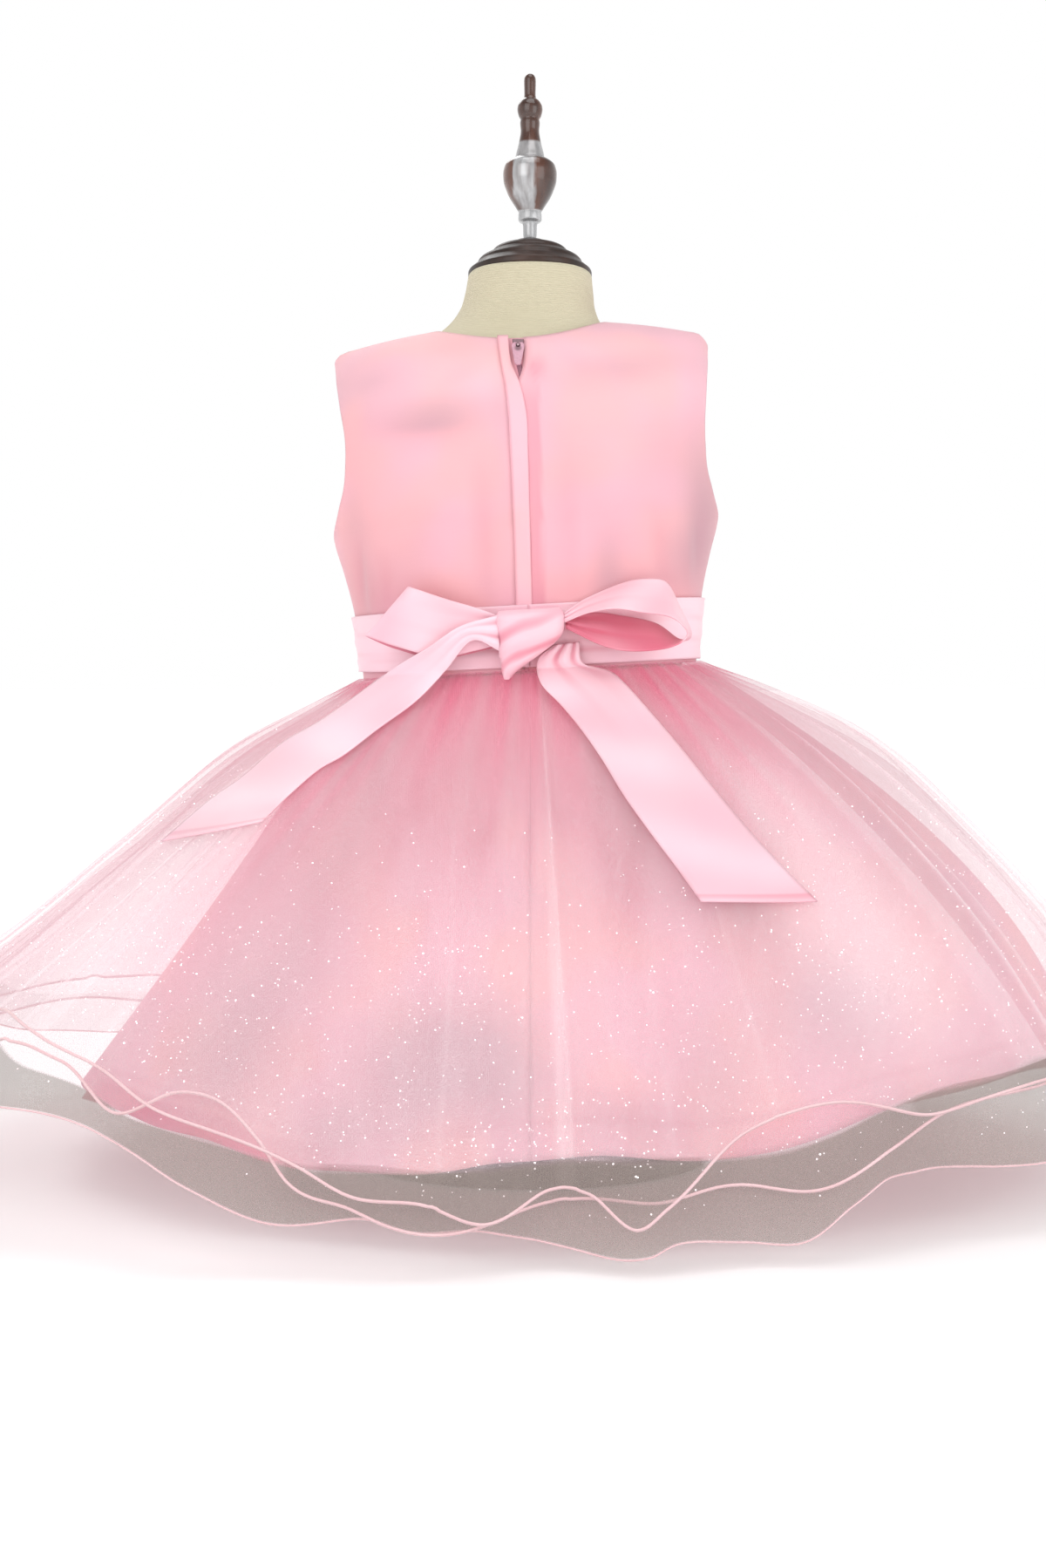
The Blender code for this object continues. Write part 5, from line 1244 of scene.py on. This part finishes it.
# The left tail, which faces the light, gets a lighter painted shade tone.
tail_left, bow_areas["tail_left"] = ribbon("bow_tail_left", LEFT_TAIL, (0,), lies_on_net=True, shade_tone=0.03)
tail_right, bow_areas["tail_right"] = ribbon("bow_tail_right", RIGHT_TAIL, (0, 0.6), lies_on_net=True)
print("bow areas:", {key: round(value, 4) for key, value in bow_areas.items()})

# %% Knot
# A closed roll: each height's ring is an oval with squared-off ends, pressed in by slanting folds.
sides = np.linspace(0, 2 * np.pi, 72, endpoint=False)[None, :]
height = np.linspace(KNOT["height"][0], KNOT["height"][-1], 70)[:, None]
left, right, near, far = (by_height(KNOT, key, height) for key in ("left", "right", "near", "far"))
cos, sin = np.cos(sides), np.sin(sides)
half_x, half_out = (right - left) / 2, (far - near) / 2
share = (height - height[0]) / (height[-1] - height[0])
WRAP_DEPTH = 0.0007
wrap = WRAP_DEPTH * np.sin(2 * np.pi * (2.2 * share - 0.45 * cos)) * np.sin(np.pi * share) ** 0.5
x = (left + right) / 2 + (half_x + wrap) * np.sign(cos) * np.abs(cos) ** 0.7
out = (near + far) / 2 - (half_out + wrap * (sin < 0)) * np.sign(sin) * np.abs(sin) ** 0.7
knot = hang(x, -out, height)
# Painted shade: deeper pink in the wraps' troughs, and an even shade over the whole knot.
fold = np.clip(-np.concatenate((wrap[:1], wrap, wrap[-1:])) / WRAP_DEPTH, 0, 1) * 0.5
cloth_piece("bow_knot", with_poles(knot), ribbon_satin, closed=True, fold=fold + 0.24)
print("knot's rings:", len(knot))

# %% [markdown]
# ## Dress form
# The torso is padded and covered with natural linen, with a seam down the centre front and at
# each side.  The cap, the finial, the pole and the base are turned on a lathe, so each is a
# profile carried round its axis.

# %% Form: linen and wood finishes
linen = Finish("natural linen", Roughness=0.9, Sheen_Weight=0.15)
cloth = linen.cloth()
warp = linen.threads(cloth, 0.0011, "X", 0.6)
weft = linen.threads(cloth, 0.0010, "Y", 0.6)
slubs = linen.noise(cloth, 120.0, 4.0, stretch=(1.0, 6.0, 1.0))
slow = linen.noise(linen.here(), 22.0, 2.0)
linen.uses(Base_Color=linen.mix(0.30 * warp + 0.30 * weft + 0.45 * slubs + 0.5 * slow - 0.32,
                                (0.59, 0.53, 0.365), (0.725, 0.670, 0.500)))
linen.bump(warp + weft + slubs, 0.00018)

GRAIN_DARK, GRAIN_LIGHT = 0.3, 0.72         # where the grain's two colours are full
dark_wood = Finish("dark stained wood", Coat_Weight=0.16, Coat_Roughness=0.12, Specular_IOR_Level=0.35)
here = dark_wood.here()
grain = dark_wood.noise(here, 60.0, 5.0, stretch=(1.0, 1.0, 0.12))
fine = dark_wood.noise(here, 400.0, 2.0, stretch=(1.0, 1.0, 0.05))
stain = {"stops": [(GRAIN_DARK, (0.006, 0.0035, 0.0025)), (GRAIN_LIGHT, (0.048, 0.021, 0.014))]}
dark_wood.uses(Base_Color=dark_wood.node("ShaderNodeValToRGB", stain, {"Fac": grain * 0.75 + fine * 0.25}),
               Roughness=0.36 + 0.15 * fine)
dark_wood.bump(fine, 0.00005)

# %% Form: silver and a painted highlight on the finial
# A painted highlight: a silver-grey strip down the side that faces the back stands for the
# varnish's gloss.  Silver leaf also holds at the foot and on a collar.
NECK_TOP, NECK_FOOT, NECK_TILT = 0.2575, 0.226, 7.0
FINIAL_FROM = WAIST + NECK_TOP
wood_silver_and_highlight = Finish("varnished wood with silver and a painted highlight", Coat_Weight=0.55, Coat_Roughness=0.10)
here = wood_silver_and_highlight.here()
spot = {axis: wood_silver_and_highlight.node("ShaderNodeSeparateXYZ", inputs={0: here}, output=axis) for axis in range(3)}
grain = wood_silver_and_highlight.noise(here, 60.0, 5.0, stretch=(1.0, 1.0, 0.12))
streak = wood_silver_and_highlight.noise(here, 260.0, 3.0, stretch=(1.0, 1.0, 0.08))
from_strip = wood_silver_and_highlight.math("ABSOLUTE", spot[0] + 0.0040 + 0.006 * (streak - 0.5))
# Painted highlight: the grey strip down the side that faces the back.
strip = wood_silver_and_highlight.step(from_strip, 0.0085, 0.0060) * wood_silver_and_highlight.step(spot[1], 0.002, -0.003)
foot = wood_silver_and_highlight.step(spot[2], FINIAL_FROM + 0.0465, FINIAL_FROM + 0.0450)
collar = wood_silver_and_highlight.step(spot[2], FINIAL_FROM + 0.079, FINIAL_FROM + 0.081)
collar = collar * wood_silver_and_highlight.step(spot[2], FINIAL_FROM + 0.093, FINIAL_FROM + 0.091)
silver = wood_silver_and_highlight.math("MAXIMUM", strip * (0.55 + 0.7 * streak), foot)
silver = wood_silver_and_highlight.math("MAXIMUM", silver, 0.8 * collar)
varnish = {"stops": [(GRAIN_DARK, (0.022, 0.007, 0.004)), (GRAIN_LIGHT, (0.14, 0.045, 0.022))]}
brown = wood_silver_and_highlight.node("ShaderNodeValToRGB", varnish, {"Fac": grain})
silver_and_highlight_grey = wood_silver_and_highlight.mix(streak, (0.16, 0.165, 0.17), (0.60, 0.60, 0.61))
wood_silver_and_highlight.uses(Base_Color=wood_silver_and_highlight.mix(silver, brown, silver_and_highlight_grey), Metallic=0.35 * silver,
              Roughness=0.16 + 0.15 * streak)
wood_silver_and_highlight.bump(streak, 0.00004)
print("form finishes:", linen.material.name, "/", dark_wood.material.name, "/", wood_silver_and_highlight.material.name)

# %% Form: torso
TORSO = table("height half_width back front shift", [
    (-0.1000, 0.0960, 0.0620, 0.0660, 0.0000), (-0.0970, 0.0990, 0.0650, 0.0690, 0.0000),
    (-0.0600, 0.1020, 0.0670, 0.0715, 0.0000), (-0.0200, 0.1000, 0.0650, 0.0705, 0.0000),
    (0.0000, 0.0995, 0.0645, 0.0705, 0.0000), (0.0300, 0.1010, 0.0655, 0.0720, -0.0005),
    (0.0600, 0.1050, 0.0680, 0.0740, -0.0012), (0.0900, 0.1085, 0.0705, 0.0765, -0.0020),
    (0.1200, 0.1110, 0.0725, 0.0780, -0.0026), (0.1500, 0.1110, 0.0710, 0.0755, -0.0030),
    (0.1750, 0.1080, 0.0655, 0.0690, -0.0034), (0.1900, 0.1020, 0.0600, 0.0620, -0.0036),
    (0.2000, 0.0925, 0.0545, 0.0535, -0.0037), (0.2080, 0.0805, 0.0500, 0.0460, -0.0037),
    (0.2140, 0.0690, 0.0460, 0.0410, -0.0037), (0.2190, 0.0592, 0.0430, 0.0385, -0.0036),
    (0.2260, 0.0508, 0.0413, 0.0378, -0.0030), (0.2360, 0.0445, 0.0405, 0.0385, -0.0016),
    (0.2470, 0.0420, 0.0405, 0.0400, -0.0005), (0.2575, 0.0405, 0.0405, 0.0405, 0.0000),
])
sides = np.linspace(90, 450, 144, endpoint=False)[None, :]
height = np.linspace(TORSO["height"][0], NECK_TOP, 150)[:, None]
half, back, ahead, shift = (by_height(TORSO, key, height) for key in ("half_width", "back", "front", "shift"))
seam = 0.0006 * sum(bell(turn_from(sides, at) / 0.8) for at in (90, 180, 270))
x = shift + (half - seam) * across(sides)
y = -(np.where(along(sides) > 0, back, ahead) - seam) * along(sides)
rim = np.clip((height - NECK_FOOT) / (NECK_TOP - NECK_FOOT), 0, 1) ** 1.5
z = WAIST + height - y * np.tan(np.radians(NECK_TILT)) * rim
torso = with_poles(points(x, y, z))
around = np.append(0, np.cumsum(np.linalg.norm(np.diff(torso[60], axis=0), axis=-1)))
upward = np.append(0, np.cumsum(np.linalg.norm(np.diff(torso[:, 36], axis=0), axis=-1)))
place(grid_piece("form_torso_linen", torso, linen.material, closed=True,
                 cloth=np.stack(np.meshgrid(around, upward), -1)), "dress", "linen", "form_torso")


# %% Form: turned pieces
def turned(name, profile, finish, slot, node, middle=(0.0, 0.0, 0.0), tilt=0.0, fine=1, steps=96):
    """Turned piece: its profile's radii and heights, carried round a tilted axis.  Each side of
    the profile is parted into as many lengths as fine says."""
    rows = dict(zip(("radius", "height"), np.array(profile, dtype=float).T))
    reach = np.append(0, np.cumsum(np.hypot(np.diff(rows["radius"]), np.diff(rows["height"]))))
    at = np.unique(np.concatenate([np.linspace(a, b, fine + 1) for a, b in zip(reach[:-1], reach[1:])]))
    radius = np.interp(at, reach, rows["radius"])[:, None]
    height = np.interp(at, reach, rows["height"])[:, None]
    turn = np.linspace(0, 2 * np.pi, steps, endpoint=False)[None, :]
    x, y, z = radius * np.cos(turn), radius * np.sin(turn), height + 0 * turn
    lean = np.radians(-tilt)
    grid = points(x + middle[0], y * np.cos(lean) - z * np.sin(lean) + middle[1],
                  y * np.sin(lean) + z * np.cos(lean) + middle[2])
    piece = grid_piece(name, grid, finish, closed=True, flip=True)
    piece.data.set_sharp_from_angle(angle=np.radians(35))
    return place(piece, "dress", slot, node)


def rounded(profile, amount=0.35, rounds=2):
    """Profile with its corners cut, each time by a share of the sides that meet there."""
    line = np.array(profile, dtype=float)
    for _ in range(rounds):
        before = line[:-1] + (line[1:] - line[:-1]) * amount / 2
        after = line[:-1] + (line[1:] - line[:-1]) * (1 - amount / 2)
        line = np.concatenate((line[:1], np.stack((before, after), 1).reshape(-1, 2), line[-1:]))
    return line


CAP = [(0.0, 0.0265), (0.0080, 0.0260), (0.0135, 0.0235), (0.0225, 0.0205), (0.0245, 0.0185),
       (0.0250, 0.0170), (0.0320, 0.0135), (0.0340, 0.0115), (0.0345, 0.0095), (0.0380, 0.0065),
       (0.0405, 0.0045), (0.0405, 0.0012), (0.0397, 0.0003), (0.0, 0.0003)]
FINIAL = [(0.0, 0.1400), (0.0026, 0.1390), (0.0040, 0.1365), (0.0037, 0.1250), (0.0042, 0.1225),
          (0.0064, 0.1208), (0.0082, 0.1175), (0.0084, 0.1145), (0.0074, 0.1105), (0.0061, 0.1085),
          (0.0066, 0.1060), (0.0060, 0.1000), (0.0074, 0.0920), (0.0092, 0.0850), (0.0098, 0.0812),
          (0.0130, 0.0800), (0.0166, 0.0770), (0.0178, 0.0720), (0.0174, 0.0650), (0.0140, 0.0560),
          (0.0090, 0.0480), (0.0074, 0.0450), (0.0077, 0.0435), (0.0077, 0.0390), (0.0046, 0.0380),
          (0.0044, 0.0268), (0.0, 0.0268)]
BASE = [(0.0, 0.0160), (0.1112, 0.0160), (0.1176, 0.0136), (0.1200, 0.0088), (0.1200, 0.0020),
        (0.1180, 0.0), (0.0, 0.0)]
POLE = [(0.0, 0.2147), (0.0080, 0.2147), (0.0080, 0.0163), (0.0, 0.0163)]
on_neck = (0.0, 0.0, FINIAL_FROM)
wood = dark_wood.material
turned("neck_cap_wood", rounded(CAP), wood, "dark_wood", "form_neck_cap", on_neck, NECK_TILT)
turned("finial_wood", rounded(FINIAL), wood_silver_and_highlight.material, "varnished_wood", "form_finial", on_neck, NECK_TILT)
turned("stand_base_wood", rounded(BASE), wood, "dark_wood", "stand_base")
turned("stand_pole_wood", POLE, wood, "dark_wood", "stand_pole", fine=2)
print("points of the finial's profile:", len(rounded(FINIAL)))

# %% [markdown]
# ## Zip metal
# The slider and its tab are small cast pieces with a mauve enamel.  Their solids have the right
# shape, so they only get a finish: a gloss, fine specks of wear, and another tone round the eye
# that joins them.

# %% Zip metal
def enamel_finish(name, worn_colour, colour, metal, eye, eye_colour, reach):
    """Enamelled metal: worn to another colour where fine noise is high, and round its eye."""
    made = Finish(name, Coat_Weight=0.3, Coat_Roughness=0.2, Specular_IOR_Level=0.4)
    worn = made.noise(made.here(), 700.0, 3.0)
    paint = made.mix(worn, colour, worn_colour)
    away = made.node("ShaderNodeVectorMath", {"operation": "DISTANCE"}, {0: made.here(), 1: eye}, output=1)
    paint = made.mix(made.step(away, 0.7 * reach, reach, 1.0, 0.0), paint, eye_colour)
    made.uses(Base_Color=paint, Metallic=metal * worn, Roughness=0.3 + 0.2 * worn)
    made.bump(worn, 0.00003)
    return made.material


low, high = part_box("zip_pull_tab")
eye = ((low[0] + high[0]) / 2, (low[1] + high[1]) / 2, high[2] - 0.0022)
behind = (eye[0], eye[1] + 0.0016, eye[2])
# On the tab, the dark disc round its eye is painted shade for the eye's hole; the slider gets a paler spot
# just behind it.
for node, finish in (
        ("zip_slider", enamel_finish("dark mauve slider enamel", (0.30, 0.17, 0.20), (0.10, 0.035, 0.05), 0.5,
                                     behind, (0.62, 0.44, 0.48), 0.0022)),
        ("zip_pull_tab", enamel_finish("mauve tab enamel", (0.42, 0.20, 0.27), (0.60, 0.33, 0.41), 0.3,
                                       eye, (0.17, 0.075, 0.10), 0.0044))):
    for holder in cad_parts[node].material_slots:
        holder.material = finish
    print(node, "is finished in", finish.name)

# %% [markdown]
# ## Floor, light and camera
# A pale floor runs out in a wide disc and brightens with the distance until it meets the white
# air, so the piece can be looked at from every side.  The air dims towards the ceiling, which
# leaves room for the lights: a large soft one from the upper left models the folds, weaker ones
# fill in, and the camera looks level at the waist.

# %% Studio
paper = Finish("pale studio floor", Roughness=0.95, Emission_Strength=1.0)
distance = paper.node("ShaderNodeVectorMath", {"operation": "LENGTH"}, {0: paper.here()}, output=1)
far = paper.step(distance, 0.5, 1.5)
grain = paper.noise(paper.here(), 3.0)
paper.uses(Emission_Color=paper.mix(far, (0.24, 0.24, 0.24), (0.66, 0.66, 0.66)),
           Base_Color=paper.mix(grain, (0.86, 0.86, 0.86), (0.90, 0.90, 0.90)))
turn = np.linspace(0, 2 * np.pi, 96, endpoint=False)[None, :]
radius = np.append(0.0, np.geomspace(0.05, 40.0, 30))[:, None]
disc = points(radius * np.cos(turn), radius * np.sin(turn), -0.0002)
floor = grid_piece("studio_floor", disc, paper.material, closed=True)


def softbox(name, spot, aim, size, power, colour=(1.0, 1.0, 1.0)):
    """Square area light at a spot, turned to its aim."""
    light = bpy.data.lights.new(name, "AREA")
    light.size, light.energy, light.color = size, power, colour
    lamp = bpy.data.objects.new(name, light)
    bpy.context.scene.collection.objects.link(lamp)
    lamp.location = spot
    lamp.rotation_euler = (Vector(aim) - Vector(spot)).to_track_quat("-Z", "Y").to_euler()


softbox("key", (-1.3, -2.4, 1.6), (0, 0, 0.3), 2.2, 24.0, (1.0, 0.98, 0.97))
softbox("fill", (2.0, -2.0, 1.0), (0, 0, 0.3), 1.8, 15.5)
softbox("top", (0.2, -0.5, 2.4), (0, 0, 0.4), 1.6, 15.0)
softbox("back", (-0.9, 2.1, 2.5), (0, 0, 0.4), 1.3, 12.0)

# %% White air
world = bpy.data.worlds.new("studio air")
bpy.context.scene.world = world
world.use_nodes = True
air = world.node_tree
way = air.nodes.new("ShaderNodeSeparateXYZ")
air.links.new(air.nodes.new("ShaderNodeTexCoord").outputs["Generated"], way.inputs[0])
dim = air.nodes.new("ShaderNodeMapRange")
for socket, value in (("From Min", 0.29), ("From Max", 0.70), ("To Min", 1.0), ("To Max", 0.40)):
    dim.inputs[socket].default_value = value
air.links.new(way.outputs["Z"], dim.inputs["Value"])
air.links.new(dim.outputs[0], air.nodes["Background"].inputs["Strength"])
air.nodes["Background"].inputs["Color"].default_value = (1.0, 1.0, 1.0, 1.0)
bpy.context.scene.view_settings.view_transform = "Standard"
print("air:", world.name)

# %% Camera
FRAME_WIDTH, SHIFT_LEFT, SHIFT_DOWN = 1200, 8, 128.5      # pixels of the rendered frame
camera = bpy.data.cameras.new("camera")
camera.sensor_fit, camera.sensor_width, camera.lens = "HORIZONTAL", 36.0, 84.0
camera.shift_x, camera.shift_y = -SHIFT_LEFT / FRAME_WIDTH, -SHIFT_DOWN / FRAME_WIDTH
eye = bpy.data.objects.new("camera", camera)
bpy.context.scene.collection.objects.link(eye)
eye.location, eye.rotation_euler = (0.0, -1.6, 0.315), (np.pi / 2, 0.0, 0.0)
bpy.context.scene.camera = eye
print("camera at", tuple(eye.location))
